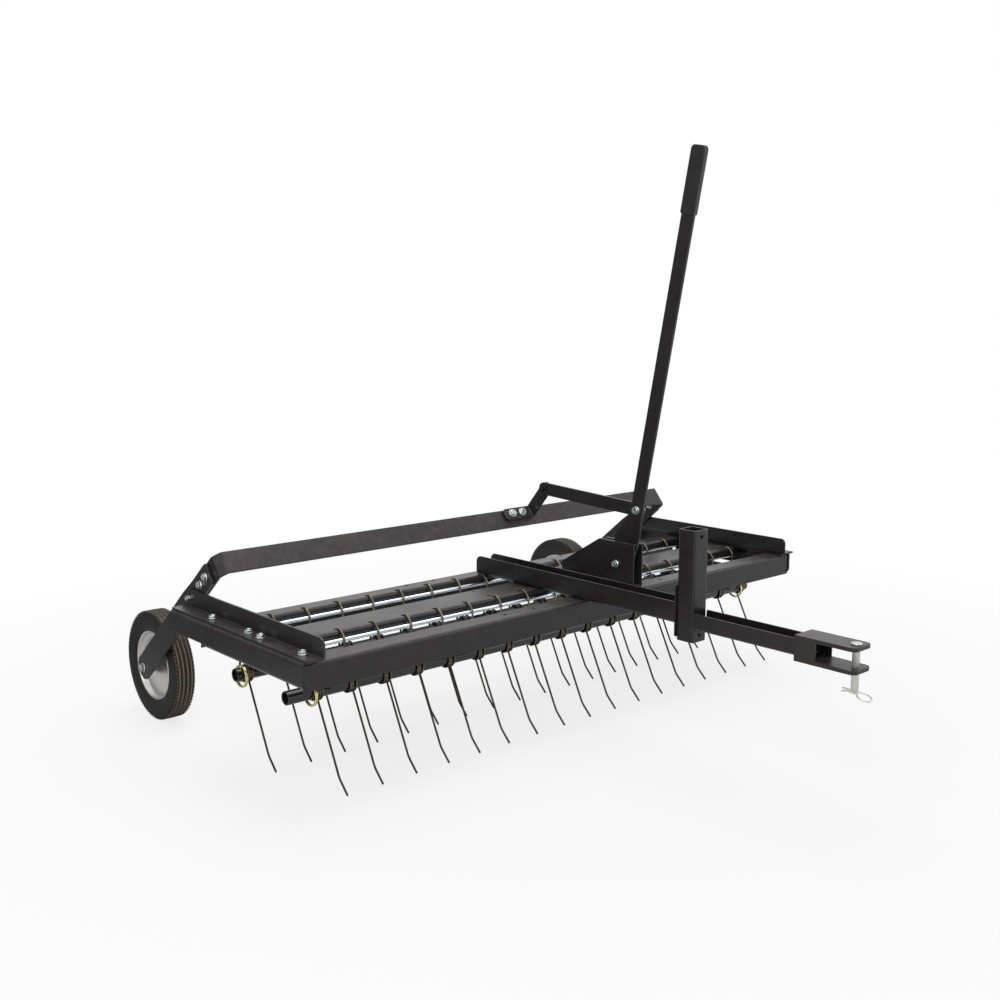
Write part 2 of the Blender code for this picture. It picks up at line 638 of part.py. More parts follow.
# Tongue, its end plate and the mast
half = TONGUE_SHEET / 2
path = [(-TONGUE_HALF + half, TONGUE_HEIGHT + 0.002), (-TONGUE_HALF + half, SEAT_GAP + half),
        (TONGUE_HALF - half, SEAT_GAP + half), (TONGUE_HALF - half, TONGUE_HEIGHT + 0.002)]
tongue = outline_solid([sheet_section(path, TONGUE_SHEET, TONGUE_BEND - half)],
                       TONGUE_REAR - TONGUE_FRONT + 0.01, ALONG_Y,
                       (0, (TONGUE_REAR + TONGUE_FRONT) / 2, 0))
shape = rounded([(TONGUE_FRONT, -0.001, 0), (TONGUE_REAR, -0.001, 0),
                 (TONGUE_REAR, TONGUE_HEIGHT, TONGUE_CORNER_R), (TONGUE_FRONT, TONGUE_HEIGHT, 0)])
combine(tongue, outline_solid([shape], 3 * TONGUE_HALF, ALONG_X), "INTERSECT", deck)
finish(tongue, "tongue", BLACK_PAINT)

shape = rounded([(-TONGUE_HALF, END_PLATE_BOTTOM, 0.004), (TONGUE_HALF, END_PLATE_BOTTOM, 0.004),
                 (TONGUE_HALF, END_PLATE_TOP, 0.004), (-TONGUE_HALF, END_PLATE_TOP, 0.004)], 2)
plate = outline_solid([shape], END_PLATE_SHEET, ALONG_Y,
                      (0, TONGUE_FRONT - SEAT_GAP - END_PLATE_SHEET / 2, 0))
finish(plate, "tongue_end_plate", BLACK_PAINT)

side = MAST_SIDE / 2
bore = side - MAST_WALL
inner_r = MAST_CORNER_R - MAST_WALL
shape = [rounded([(-side, -side, MAST_CORNER_R), (side, -side, MAST_CORNER_R),
                  (side, side, MAST_CORNER_R), (-side, side, MAST_CORNER_R)]),
         rounded([(-bore, -bore, inner_r), (bore, -bore, inner_r),
                  (bore, bore, inner_r), (-bore, bore, inner_r)], 1)]
mast = outline_solid(shape, MAST_TOP - MAST_BOTTOM, (0, 0, 0), (0, MAST_Y, (MAST_TOP + MAST_BOTTOM) / 2))
holes = [(0, MAST_Y, MAST_TOP - MAST_HOLE_INSET), (0, MAST_Y, MAST_BOTTOM + MAST_HOLE_INSET)]
combine(mast, pegs(holes, MAST_HOLE_R, 2 * MAST_SIDE, TO_Y, 8), "DIFFERENCE", deck)
finish(mast, "mast", BLACK_PAINT)

# Drawbar, clevis, hitch pin and clip
half = DRAWBAR_SHEET / 2
path = [(-DRAWBAR_HALF + half, DRAWBAR_Z + DRAWBAR_HEIGHT), (-DRAWBAR_HALF + half, DRAWBAR_Z + half),
        (DRAWBAR_HALF - half, DRAWBAR_Z + half), (DRAWBAR_HALF - half, DRAWBAR_Z + DRAWBAR_HEIGHT)]
drawbar = outline_solid([sheet_section(path, DRAWBAR_SHEET, 0.004)], DRAWBAR_LENGTH, ALONG_Y,
                        (0, DRAWBAR_REAR - DRAWBAR_LENGTH / 2, 0))
finish(drawbar, "drawbar", BLACK_PAINT)

ear = DRAWBAR_HALF + SEAT_GAP + CLEVIS_WALL
corner = CLEVIS_CORNER_R
shape = rounded([(-ear, CLEVIS_FRONT, corner), (ear, CLEVIS_FRONT, corner), (ear, CLEVIS_REAR, 0),
                 (-ear, CLEVIS_REAR, 0)])
clevis = outline_solid([shape, hole(0, PIN_Y, PIN_R + RUN_GAP, 14)], CLEVIS_TOP - CLEVIS_BOTTOM,
                       (0, 0, 0), (0, 0, (CLEVIS_TOP + CLEVIS_BOTTOM) / 2))
inside = bars([((-ear + CLEVIS_WALL, CLEVIS_FRONT - 0.01, CLEVIS_BOTTOM + CLEVIS_PLATE),
                (ear - CLEVIS_WALL, CLEVIS_REAR + 0.01, CLEVIS_TOP - CLEVIS_PLATE)),
               ])
combine(clevis, inside, "DIFFERENCE", deck)
gap = bars([((-ear - 0.01, CLEVIS_FRONT - 0.02, CLEVIS_BOTTOM + CLEVIS_PLATE),
             (ear + 0.01, CLEVIS_REAR - CLEVIS_SLEEVE, CLEVIS_TOP - CLEVIS_PLATE))])
combine(clevis, gap, "DIFFERENCE", deck)
finish(clevis, "drawbar_clevis", BLACK_PAINT)

shank = CLEVIS_TOP - PIN_END
pin = turned([(0, PIN_HEAD), (PIN_HEAD_R - 0.001, PIN_HEAD), (PIN_HEAD_R, PIN_HEAD - 0.001),
              (PIN_HEAD_R, SEAT_GAP), (PIN_R, SEAT_GAP), (PIN_R, -shank + 0.0015),
              (PIN_R - 0.0015, -shank), (0, -shank)], 14)
cross = drills([(0, 0, CLIP_Z - CLEVIS_TOP)], CLIP_WIRE_R + RUN_GAP, 4 * PIN_R, TO_Y, 8)
combine(pin, cross, "DIFFERENCE", hitch_axis)
finish(pin, "hitch_pin", ZINC, hitch_axis)


def clip_path():
    """The hairpin clip: a straight leg through the pin, a loop, and a leg sprung round the pin."""
    clear = PIN_R + CLIP_WIRE_R + RUN_GAP
    path = [(0, CLIP_TAIL), (0, -CLIP_NOSE + CLIP_LOOP_R * 0.8)]
    steps = 10
    for k in range(steps + 1):
        angle = math.pi + math.radians(290) * k / steps
        path.append((CLIP_LOOP_R * (1 + math.cos(angle)), -CLIP_NOSE + CLIP_LOOP_R * math.sin(angle)))
    path += [(clear * 1.02, -clear * 0.45), (clear * 1.06, clear * 0.2), (clear * 0.98, clear * 0.75),
             (clear * 0.8, clear * 1.2), (clear * 1.15, clear * 2.2)]
    return [(x, y, CLIP_Z - CLEVIS_TOP) for x, y in path]


clip = wire([clip_path()], CLIP_WIRE_R)
finish(clip, "hitch_clip", ZINC, hitch_axis)

# Lever bracket, a folded cover that is open at its front and below
shape = [(BRACKET_FRONT, SEAT_GAP), (BRACKET_FRONT, BRACKET_HEIGHT), (BRACKET_SHOULDER, BRACKET_HEIGHT),
         (BRACKET_REAR, BRACKET_REAR_HEIGHT), (BRACKET_REAR, SEAT_GAP)]
bracket = outline_solid([shape, hole(LEVER_PIVOT_Y, LEVER_PIVOT_Z, LEVER_BOLT_R + BOLT_CLEARANCE)],
                        BRACKET_WIDTH, ALONG_X, (LEVER_X, 0, 0))
slope = math.atan2(BRACKET_HEIGHT - BRACKET_REAR_HEIGHT, BRACKET_REAR - BRACKET_SHOULDER)
slip = BRACKET_SHEET * math.tan(slope / 2)
drop = BRACKET_SHEET / math.cos(slope)
lower = BRACKET_REAR_HEIGHT - drop + BRACKET_SHEET * math.tan(slope)
shape = [(BRACKET_FRONT - 0.01, -0.01), (BRACKET_FRONT - 0.01, BRACKET_HEIGHT - BRACKET_SHEET),
         (BRACKET_SHOULDER - slip, BRACKET_HEIGHT - BRACKET_SHEET),
         (BRACKET_REAR - BRACKET_SHEET, lower), (BRACKET_REAR - BRACKET_SHEET, -0.01)]
inside = outline_solid([shape], BRACKET_WIDTH - 2 * BRACKET_SHEET, ALONG_X, (LEVER_X, 0, 0))
combine(bracket, inside, "DIFFERENCE", deck)
slot = bars([((LEVER_X - BRACKET_SLOT / 2, BRACKET_FRONT - 0.01, BRACKET_HEIGHT - 2 * BRACKET_SHEET),
              (LEVER_X + BRACKET_SLOT / 2, BRACKET_SHOULDER + 0.012, BRACKET_HEIGHT + 0.01))])
combine(bracket, slot, "DIFFERENCE", deck)
finish(bracket, "lever_bracket", BLACK_PAINT)
bolt("lever_pivot_bolt", (LEVER_X - BRACKET_WIDTH / 2, LEVER_PIVOT_Y, LEVER_PIVOT_Z), TO_MINUS_X,
     BRACKET_WIDTH, LEVER_BOLT_R)


# Lever and grip; places are measured from the lever's pivot
def lever_point(along, across):
    """along runs up the lever's middle from the link pin, across towards the rear."""
    up = (-math.sin(LEVER_LEAN), math.cos(LEVER_LEAN))
    back = (math.cos(LEVER_LEAN), math.sin(LEVER_LEAN))
    return (LINK_PIN_Y - LEVER_PIVOT_Y + along * up[0] + across * back[0],
            LINK_PIN_Z - LEVER_PIVOT_Z + along * up[1] + across * back[1])


LEVER_END = LEVER_LENGTH - (LINK_PIN_Z - LEVER_PIVOT_Z)
wide = LEVER_WIDTH / 2
boss = LEVER_BOLT_R * 4.4
shape = rounded([(*lever_point(LEVER_END, -wide), 0.006), (*lever_point(0.01, -wide), 0.04),
                 (*lever_point(-0.060, -wide - 0.004), 0.01),
                 (-boss * 1.25, -boss * 0.95, 0.008), (boss * 0.6, -boss, 0.010), (boss * 1.1, boss * 0.2, 0.012),
                 (LINK_WIDTH * 0.5, LINK_PIN_Z - LEVER_PIVOT_Z - 0.058, 0.010),
                 (*lever_point(-0.013, wide), 0.004), (*lever_point(LEVER_END, wide), 0.006)])
pin_y = LINK_PIN_Y - LEVER_PIVOT_Y
pin_z = LINK_PIN_Z - LEVER_PIVOT_Z
lever = outline_solid([shape, hole(0, 0, LEVER_BOLT_R + RUN_GAP),
                       hole(pin_y, pin_z, LINK_BOLT_R + BOLT_CLEARANCE)], LEVER_THICK, ALONG_X)
finish(lever, "lever", BLACK_PAINT, lever_axis)

grip_end = LEVER_END + GRIP_OVER_END
out = wide + SEAT_GAP + GRIP_WALL
shape = rounded([(*lever_point(grip_end, -out), 0.008), (*lever_point(grip_end - GRIP_LENGTH, -out), 0.002),
                 (*lever_point(grip_end - GRIP_LENGTH, out), 0.002), (*lever_point(grip_end, out), 0.008)], 3)
grip = outline_solid([shape], LEVER_THICK + 2 * (SEAT_GAP + GRIP_WALL), ALONG_X)
bevel = grip.modifiers.new("edges", "BEVEL")
bevel.width = 0.0015
bevel.segments = 1
bevel.limit_method = "ANGLE"
room = wide + SEAT_GAP
shape = [lever_point(LEVER_END + SEAT_GAP, -room), lever_point(grip_end - GRIP_LENGTH - 0.01, -room),
         lever_point(grip_end - GRIP_LENGTH - 0.01, room), lever_point(LEVER_END + SEAT_GAP, room)]
combine(grip, outline_solid([shape], LEVER_THICK + 2 * SEAT_GAP, ALONG_X), "DIFFERENCE", lever_axis)
finish(grip, "lever_grip", GRIP_VINYL, lever_axis)

# Link, whose front bolt stays with the lever and whose rear bolt stays with the link
span_y = CRANK_PIN_Y - LINK_PIN_Y
span_z = CRANK_PIN_Z - LINK_PIN_Z
length = math.hypot(span_y, span_z)
tilt = math.atan2(span_z, span_y)
end = LINK_WIDTH / 2
shape = rounded([(-end, -end, end * 0.999), (length + end, -end, end * 0.999),
                 (length + end, end, end * 0.999), (-end, end, end * 0.999)], 5)
loops = [shape, hole(0, 0, LINK_BOLT_R + RUN_GAP), hole(length, 0, LINK_BOLT_R + BOLT_CLEARANCE)]
turned_loops = [[(u * math.cos(tilt) - v * math.sin(tilt), u * math.sin(tilt) + v * math.cos(tilt))
                 for u, v in loop] for loop in loops]
link = outline_solid(turned_loops, LINK_THICK, ALONG_X)
finish(link, "lift_link", BLACK_PAINT, link_axis)
bolt("link_bolt_front", (-LEVER_THICK / 2, pin_y, pin_z), TO_MINUS_X,
     LEVER_THICK + SEAT_GAP + LINK_THICK + RUN_GAP, LINK_BOLT_R, lever_axis)
bolt("link_bolt_rear", (-LINK_THICK / 2, span_y, span_z), TO_MINUS_X,
     LINK_THICK + SEAT_GAP + CRANK_THICK + RUN_GAP, LINK_BOLT_R, link_axis)

# Wheel arms, cross bar and crank; in the yoke's frame +Y runs from the pivot down to the axle
TAB_BOLTS = (-ARM_OVERHANG + 0.014, -ARM_OVERHANG + 0.014 + ARM_BOLT_SPACING)
TAB_X = ARM_X - ARM_THICK / 2 - SEAT_GAP - CROSS_BAR_THICK / 2
half_width = ARM_WIDTH / 2
for side, word in ((-1, "left"), (1, "right")):
    shape = rounded([(-ARM_OVERHANG, -half_width, 0.004),
                     (ARM_LENGTH + half_width, -half_width, half_width * 0.999),
                     (ARM_LENGTH + half_width, half_width, half_width * 0.999),
                     (-ARM_OVERHANG, half_width, 0.004)], 5)
    holes = [hole(0, 0, PIVOT_BOLT_R + RUN_GAP, 8), hole(ARM_LENGTH, 0, AXLE_R + BOLT_CLEARANCE, 8)]
    holes += [hole(y, 0, ARM_BOLT_R + BOLT_CLEARANCE, 6) for y in TAB_BOLTS]
    arm = outline_solid([shape] + holes, ARM_THICK, ALONG_X, (side * ARM_X, 0, 0))
    finish(arm, "wheel_arm_" + word, BLACK_PAINT, yoke_axis)
    outward = TO_X if side > 0 else TO_MINUS_X
    for number, y in enumerate(TAB_BOLTS, 1):
        bolt("yoke_bolt_%s_%d" % (word, number), (side * (ARM_X + ARM_THICK / 2), y, 0), outward,
             ARM_THICK + SEAT_GAP + CROSS_BAR_THICK, ARM_BOLT_R, yoke_axis)
    bolt("arm_pivot_bolt_" + word, (side * UPSTAND_X, ARM_PIVOT_Y, ARM_PIVOT_Z), outward,
         UPSTAND_SHEET + 2 * RUN_GAP + ARM_THICK + RUN_GAP, PIVOT_BOLT_R)

half = CROSS_BAR_THICK / 2
bar_y = -CROSS_BAR_REACH
corner = 0.016
path = [(-TAB_X, TAB_BOLTS[1] + 0.014), (-TAB_X, bar_y + corner), (-TAB_X + corner, bar_y),
        (TAB_X - corner, bar_y), (TAB_X, bar_y + corner), (TAB_X, TAB_BOLTS[1] + 0.014)]
bar = outline_solid([sheet_section(path, CROSS_BAR_THICK, CROSS_BAR_BEND, 2)], CROSS_BAR_WIDTH)
tab_holes = [(side * TAB_X, y, 0) for side in (-1, 1) for y in TAB_BOLTS]
combine(bar, drills(tab_holes, ARM_BOLT_R + BOLT_CLEARANCE, 4 * CROSS_BAR_THICK, TO_X), "DIFFERENCE",
        yoke_axis)

pivot_to_pin = complex(CRANK_PIN_Y - ARM_PIVOT_Y, CRANK_PIN_Z - ARM_PIVOT_Z)
in_yoke = pivot_to_pin * complex(math.cos(ARM_ANGLE), math.sin(ARM_ANGLE))
crank_pin = (in_yoke.real, in_yoke.imag)
face_y = bar_y - half - SEAT_GAP
foot_z = (CROSS_BAR_WIDTH - CRANK_WIDTH) / 2
foot_y = face_y - CRANK_THICK / 2
crank_end = CRANK_X + CRANK_THICK / 2
crank_bolts = [(crank_end - CRANK_WIDTH - 0.002 - CRANK_BOLT_SPACING * k, face_y, foot_z) for k in (0, 1)]
combine(bar, drills(crank_bolts, ARM_BOLT_R + BOLT_CLEARANCE, 4 * CROSS_BAR_THICK, TO_Y), "DIFFERENCE",
        yoke_axis)
finish(bar, "cross_bar", BLACK_PAINT, yoke_axis)

edge = CRANK_WIDTH / 2
arm_way = complex(crank_pin[0] - foot_y, crank_pin[1] - foot_z)
reach = abs(arm_way)
arm_way /= reach
shape = rounded([(0, -edge, 0), (reach + edge, -edge, edge * 0.999), (reach + edge, edge, edge * 0.999),
                 (0, edge, 0)], 5)
loops = [shape, hole(reach, 0, LINK_BOLT_R + OPEN_PIVOT_PLAY, 14)]
loops = [[((complex(u, v) * arm_way).real + foot_y, (complex(u, v) * arm_way).imag + foot_z)
          for u, v in loop] for loop in loops]
crank = outline_solid(loops, CRANK_THICK, ALONG_X, (CRANK_X, 0, 0))
path = [(crank_end - CRANK_FOOT - CRANK_THICK / 2, foot_y), (CRANK_X, foot_y), (CRANK_X, foot_y - 0.012)]
foot = outline_solid([sheet_section(path, CRANK_THICK - 0.0002, 0.006)], CRANK_WIDTH, (0, 0, 0),
                     (0, 0, foot_z))
combine(crank, foot, "UNION", yoke_axis)
combine(crank, drills(crank_bolts, ARM_BOLT_R + BOLT_CLEARANCE, 4 * CRANK_THICK, TO_Y), "DIFFERENCE",
        yoke_axis)
base = bars([((CRANK_X - CRANK_FOOT, face_y, foot_z - CRANK_WIDTH), (CRANK_X + 0.02, 0, foot_z + CRANK_WIDTH))])
combine(crank, base, "DIFFERENCE", yoke_axis)
finish(crank, "crank", BLACK_PAINT, yoke_axis)
for number, (x, y, z) in enumerate(crank_bolts, 1):
    bolt("crank_bolt_%d" % number, (x, face_y - CRANK_THICK, z), (math.pi / 2, 0, 0),
         CRANK_THICK + SEAT_GAP + CROSS_BAR_THICK, ARM_BOLT_R, yoke_axis)

# Wheels: the profiles' heights point outboard
axle_grip = ARM_THICK + SEAT_GAP
hub_out = WHEEL_SETBACK - ARM_THICK / 2 - RUN_GAP
hub_in = -TYRE_WIDTH / 2 + 0.002
seat_half = TYRE_WIDTH / 2 - 0.0022
for side, word in ((-1, "left"), (1, "right")):
    outward = TO_X if side > 0 else TO_MINUS_X
    centre = (side * WHEEL_HALF_TRACK, AXLE_Y, AXLE_Z)
    bore_r = (AXLE_R + RUN_GAP) / math.cos(math.pi / 20)
    rim = turned([(bore_r, hub_out), (HUB_R, hub_out), (HUB_R, seat_half * 0.95),
                  (RIM_R * 0.42, seat_half * 0.55), (RIM_R * 0.8, seat_half * 0.35),
                  (RIM_R - RIM_SHEET, seat_half),
                  (RIM_R, seat_half), (RIM_R, -seat_half), (RIM_R - RIM_SHEET, -seat_half),
                  (RIM_R - RIM_SHEET, seat_half * 0.15), (RIM_R * 0.8, seat_half * 0.35 - RIM_SHEET),
                  (RIM_R * 0.42, seat_half * 0.55 - RIM_SHEET), (HUB_R, seat_half * 0.95 - RIM_SHEET),
                  (HUB_R, hub_in), (bore_r, hub_in)], 20, outward, centre)
    finish(rim, "wheel_rim_" + word, RIM_PAINT)
    flank = TYRE_WIDTH / 2
    tread = flank - 0.0045
    bead = (RIM_R + SEAT_GAP) / math.cos(math.pi / 24)
    outer = []
    for k in range(GROOVE_COUNT):
        groove = tread - 2 * tread * (k + 0.5) / GROOVE_COUNT
        outer += [(TYRE_R, groove + GROOVE_WIDTH / 2), (TYRE_R - GROOVE_DEPTH, groove),
                  (TYRE_R, groove - GROOVE_WIDTH / 2)]
    profile = [(bead, seat_half), (bead + 0.006, flank), (TYRE_R - 0.008, flank)]
    profile += outer
    profile += [(r, -z) for r, z in profile[2::-1]]
    tyre = turned(profile, 24, outward, centre)
    finish(tyre, "tyre_" + word, RUBBER)
    axle_length = axle_grip + hub_out - hub_in
    bolt("axle_bolt_" + word, (side * (ARM_X + ARM_THICK / 2), ARM_LENGTH, 0), outward,
         axle_length + 2 * RUN_GAP, AXLE_R, yoke_axis)
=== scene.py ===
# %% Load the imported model
import json
import math

import bmesh
import bpy
from mathutils import Matrix, Vector


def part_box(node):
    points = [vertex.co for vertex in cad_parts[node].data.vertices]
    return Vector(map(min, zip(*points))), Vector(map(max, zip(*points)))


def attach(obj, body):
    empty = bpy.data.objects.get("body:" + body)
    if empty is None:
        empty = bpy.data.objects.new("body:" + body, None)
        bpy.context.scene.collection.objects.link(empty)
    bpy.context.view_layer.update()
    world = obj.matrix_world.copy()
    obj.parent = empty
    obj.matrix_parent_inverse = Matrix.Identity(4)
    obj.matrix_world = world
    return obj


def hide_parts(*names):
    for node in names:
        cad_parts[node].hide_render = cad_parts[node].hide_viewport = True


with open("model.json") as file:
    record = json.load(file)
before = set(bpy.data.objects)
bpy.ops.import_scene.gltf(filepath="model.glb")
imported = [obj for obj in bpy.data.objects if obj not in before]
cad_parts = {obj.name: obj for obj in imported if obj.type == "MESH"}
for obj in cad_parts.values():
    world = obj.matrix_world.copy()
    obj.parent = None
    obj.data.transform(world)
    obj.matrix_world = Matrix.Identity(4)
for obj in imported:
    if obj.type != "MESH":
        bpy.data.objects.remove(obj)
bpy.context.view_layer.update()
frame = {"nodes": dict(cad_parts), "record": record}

# %% [markdown]
# A dethatcher is towed over a lawn, where two rows of spring tines comb out dead grass. The solids
# already have its shapes and its moving joints. This lesson dresses them: it keeps their places,
# makes the wires, bolts, tyres and bent sheet finer, and gives each piece its finish.
# All places are written in deck coordinates: zero is the middle of the deck, at the height of the
# deck strips' top faces. The middle strip's box in the model gives where that is.

# %% Deck coordinates
HOOK_EDGE = 0.005            # the middle strip's front face, in deck coordinates
DECK_ZERO = Vector((0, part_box("strip_middle")[0].y - HOOK_EDGE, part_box("strip_middle")[1].z))
SIDES = ((-1, "left"), (1, "right"))


def deck(x, y, z):
    return DECK_ZERO + Vector((x, y, z))


def heading(turn, drop):
    """The way that faces the front of the deck, turned left or right and tipped down, in radians."""
    return Vector((math.sin(turn) * math.cos(drop), -math.cos(turn) * math.cos(drop), -math.sin(drop)))


def mm(*rows):
    """Rows of lengths in millimetres, turned into metres."""
    return [tuple(value / 1000 for value in row) for row in rows]


def link(data, name="working"):
    made = bpy.data.objects.new(name, data)
    bpy.context.scene.collection.objects.link(made)
    return made


print("deck zero is at", [round(v, 4) for v in DECK_ZERO])

# %% [markdown]
# The camera stands where the photographer stood, found by fitting the known tine pitch to the
# picture: about 42 degrees round to the left, 9 degrees above the horizon. It comes first, so that
# each piece can be looked at while it is made.

# %% Camera
camera = link(bpy.data.cameras.new("camera"), "camera")
bpy.context.scene.camera = camera
camera.data.sensor_width = 36
camera.data.lens = 41.66
AZIMUTH, ELEVATION = math.radians(-41.6), math.radians(9)
camera.location = (-1.655, -1.6754, 0.855)
camera.rotation_euler = (-heading(AZIMUTH, -ELEVATION)).to_track_quat("-Z", "Y").to_euler()
print("camera is %.2f m from the deck" % (camera.location - DECK_ZERO).length)

# %% [markdown]
# Materials are small networks of nodes. These helpers keep them short: one adds a node, sets or links
# its inputs and hands back its outputs, and one starts a group. A group is a network with its own
# inputs and outputs, which several materials share.


# %% Node helpers
def add(tree, kind, inputs=(), **settings):
    """A new node's outputs. Inputs go by name or number and take a value or another node's output."""
    made = tree.nodes.new(kind)
    for name, value in settings.items():
        setattr(made, name, value)
    for name, value in dict(inputs).items():
        socket = made.inputs[name]
        if isinstance(value, bpy.types.NodeSocket):
            tree.links.new(value, socket)
        else:
            socket.default_value = (*value, 1) if socket.type == "RGBA" else value
    return made.outputs


def new_group(name, kind, inputs, outputs):
    """A group's tree and its two ends. Each socket has its kind, or a number or colour to start with."""
    tree = bpy.data.node_groups.new(name, kind)
    for in_out, sockets in (("INPUT", inputs), ("OUTPUT", outputs)):
        for label, value in sockets.items():
            kinds = {str: value, int: "Int", float: "Float", tuple: "Color", Vector: "Vector"}
            socket = tree.interface.new_socket(label, in_out=in_out,
                                               socket_type="NodeSocket" + kinds[type(value)])
            if not isinstance(value, str):
                socket.default_value = value
    return tree, tree.nodes.new("NodeGroupInput").outputs, tree.nodes.new("NodeGroupOutput").inputs


def use_group(tree, group, **inputs):
    return add(tree, "ShaderNodeGroup", inputs, node_tree=group)


def maths(tree, operation, a, b=0.0, clamp=False):
    return add(tree, "ShaderNodeMath", {0: a, 1: b}, operation=operation, use_clamp=clamp)[0]


def mixed(tree, amount, a, b):
    return add(tree, "ShaderNodeMix", {0: amount, 6: a, 7: b}, data_type="RGBA")[2]


def between(tree, value, *ends):
    """The value moved from one range to another. The ends are from low, from high, to low, to high."""
    return add(tree, "ShaderNodeMapRange", dict(enumerate((value, *ends))))[0]


def noise(tree, vector, scale, detail, roughness):
    return add(tree, "ShaderNodeTexNoise", {"Vector": vector, "Scale": scale, "Detail": detail,
                                            "Roughness": roughness})[0]


def object_place(tree):
    return add(tree, "ShaderNodeTexCoord")["Object"]


print("node helpers are ready")

# %% [markdown]
# Five effects turn up in more than one finish. Sprayed and baked paint has a faint orange peel and
# a tone that drifts. Dust settles on whatever faces up, and its mask is also painted light: it
# lightens upward faces as if lit from above. Handling leaves fine scuffs. Drawn wire, rods and
# tubes have streaks along their length. Each is a group that puts out a height, a mask or a colour,
# and each reads Object coordinates, so the pattern stays on the piece when it moves.

# %% Effect groups
peel, into, out = new_group("orange_peel", "ShaderNodeTree", {"Scale": 450.0}, {"Height": "Float"})
peel.links.new(noise(peel, object_place(peel), into["Scale"], 1.0, 0.4), out["Height"])

tone, into, out = new_group("drifting_tone", "ShaderNodeTree", {
    "Scale": 9.0, "Dark": (0, 0, 0, 1), "Light": (1, 1, 1, 1)}, {"Color": "Color", "Mask": "Float"})
spread = between(tone, noise(tone, object_place(tone), into["Scale"], 4.0, 0.55), 0.32, 0.68, 0.0, 1.0)
tone.links.new(mixed(tone, spread, into["Dark"], into["Light"]), out["Color"])
tone.links.new(spread, out["Mask"])

# Dust and painted top light: a mask on upward faces, for real dust and for light from above.
dust_and_top_light, into, out = new_group("settled_dust_and_top_light", "ShaderNodeTree", {"Amount": 0.3, "Scale": 60.0},
                            {"Mask": "Float"})
coordinates = add(dust_and_top_light, "ShaderNodeTexCoord")
facing = add(dust_and_top_light, "ShaderNodeSeparateXYZ", {0: coordinates["Normal"]})["Z"]
upward = between(dust_and_top_light, facing, 0.2, 1.0, 0.15, 1.0)
patches = between(dust_and_top_light, noise(dust_and_top_light, coordinates["Object"], into["Scale"], 5.0, 0.7), 0.42, 0.78, 0.35, 1.0)
dust_and_top_light_there = maths(dust_and_top_light, "MULTIPLY", upward, patches)
dust_and_top_light.links.new(maths(dust_and_top_light, "MULTIPLY", dust_and_top_light_there, into["Amount"], True), out["Mask"])

scuff, into, out = new_group("fine_scuffs", "ShaderNodeTree", {"Scale": 40.0, "Amount": 0.5},
                             {"Mask": "Float"})
stretch = add(scuff, "ShaderNodeMapping", {"Vector": object_place(scuff), "Rotation": (0.5, 0.3, 0.7),
                                           "Scale": (1.0, 14.0, 14.0)})[0]
thin = between(scuff, noise(scuff, stretch, into["Scale"], 3.0, 0.6), 0.66, 0.74, 0.0, 1.0)
scuff.links.new(maths(scuff, "MULTIPLY", thin, into["Amount"], True), out["Mask"])

drawn, into, out = new_group("drawn_streaks", "ShaderNodeTree", {"Scale": 500.0, "Length": 0.02},
                             {"Height": "Float", "Mask": "Float"})
squeezed = add(drawn, "ShaderNodeCombineXYZ", {0: into["Length"], 1: 1.0, 2: 1.0})[0]
stretch = add(drawn, "ShaderNodeVectorMath", {0: object_place(drawn), 1: squeezed}, operation="MULTIPLY")[0]
streaks = noise(drawn, stretch, into["Scale"], 2.0, 0.5)
drawn.links.new(streaks, out["Height"])
drawn.links.new(between(drawn, streaks, 0.35, 0.65, 0.0, 1.0), out["Mask"])
print("groups:", [g.name for g in bpy.data.node_groups])

# %% [markdown]
# Every finish starts from a drifting tone. Other colours are laid over it where an effect's mask
# says so, and the shader gets that colour, a roughness that follows a mask, and a shallow bump.
# The steel frame is powder coated: a dark, slightly warm satin black. It is never one flat colour,
# because the coat drifts in tone, catches pale dust on top, which also stands for painted light on
# the upward faces, and takes light scuffs. The tubes that carry the coils have a wetter, glossier
# paint, so they get the same network with other values.


# %% Painted finishes
def new_material(name):
    made = bpy.data.materials.new(name)
    made.use_nodes = True
    return made, made.node_tree


def toned(name, scale, dark, light):
    made, tree = new_material(name)
    return made, tree, use_group(tree, tone, Scale=scale, Dark=dark, Light=light)


def layer(tree, group, colour, over, **inputs):
    """The colour with another one over it where the effect is, and the effect's mask."""
    mask = use_group(tree, group, **inputs)["Mask"]
    return mixed(tree, mask, colour, over), mask


def surfaced(made, colour, mask, rough, bump, settings, rougher=None):
    tree = made.node_tree
    shader = tree.nodes["Principled BSDF"].inputs
    roughness = between(tree, mask, 0.0, 1.0, *rough)
    if rougher:
        roughness = maths(tree, "ADD", roughness, maths(tree, "MULTIPLY", *rougher), True)
    height, strength, distance = bump
    normal = add(tree, "ShaderNodeBump", {"Height": height, "Strength": strength,
                                          "Distance": distance})[0]
    for label, output in (("Base Color", colour), ("Roughness", roughness), ("Normal", normal)):
        tree.links.new(output, shader[label])
    for label, value in settings.items():
        shader[label].default_value = value
    return made


def painted(name, dark, light, rough, peel_strength, dust_and_top_light_amount, scuff_amount, coat=0.0):
    made, tree, drift = toned(name, 7.0, dark, light)
    # Pale dust on upward faces, which also paints them lighter as light from above.
    colour, dust_and_top_light_mask = layer(tree, dust_and_top_light, drift["Color"], (0.28, 0.255, 0.245), Scale=55.0, Amount=dust_and_top_light_amount)
    colour, _ = layer(tree, scuff, colour, (0.075, 0.068, 0.064), Scale=22.0, Amount=scuff_amount)
    height = use_group(tree, peel, Scale=520.0)["Height"]
    settings = {"Specular IOR Level": 0.36, "Coat Weight": coat, "Coat Roughness": 0.12}
    return surfaced(made, colour, drift["Mask"], rough, (height, peel_strength, 0.0004), settings,
                    (dust_and_top_light_mask, 0.25))


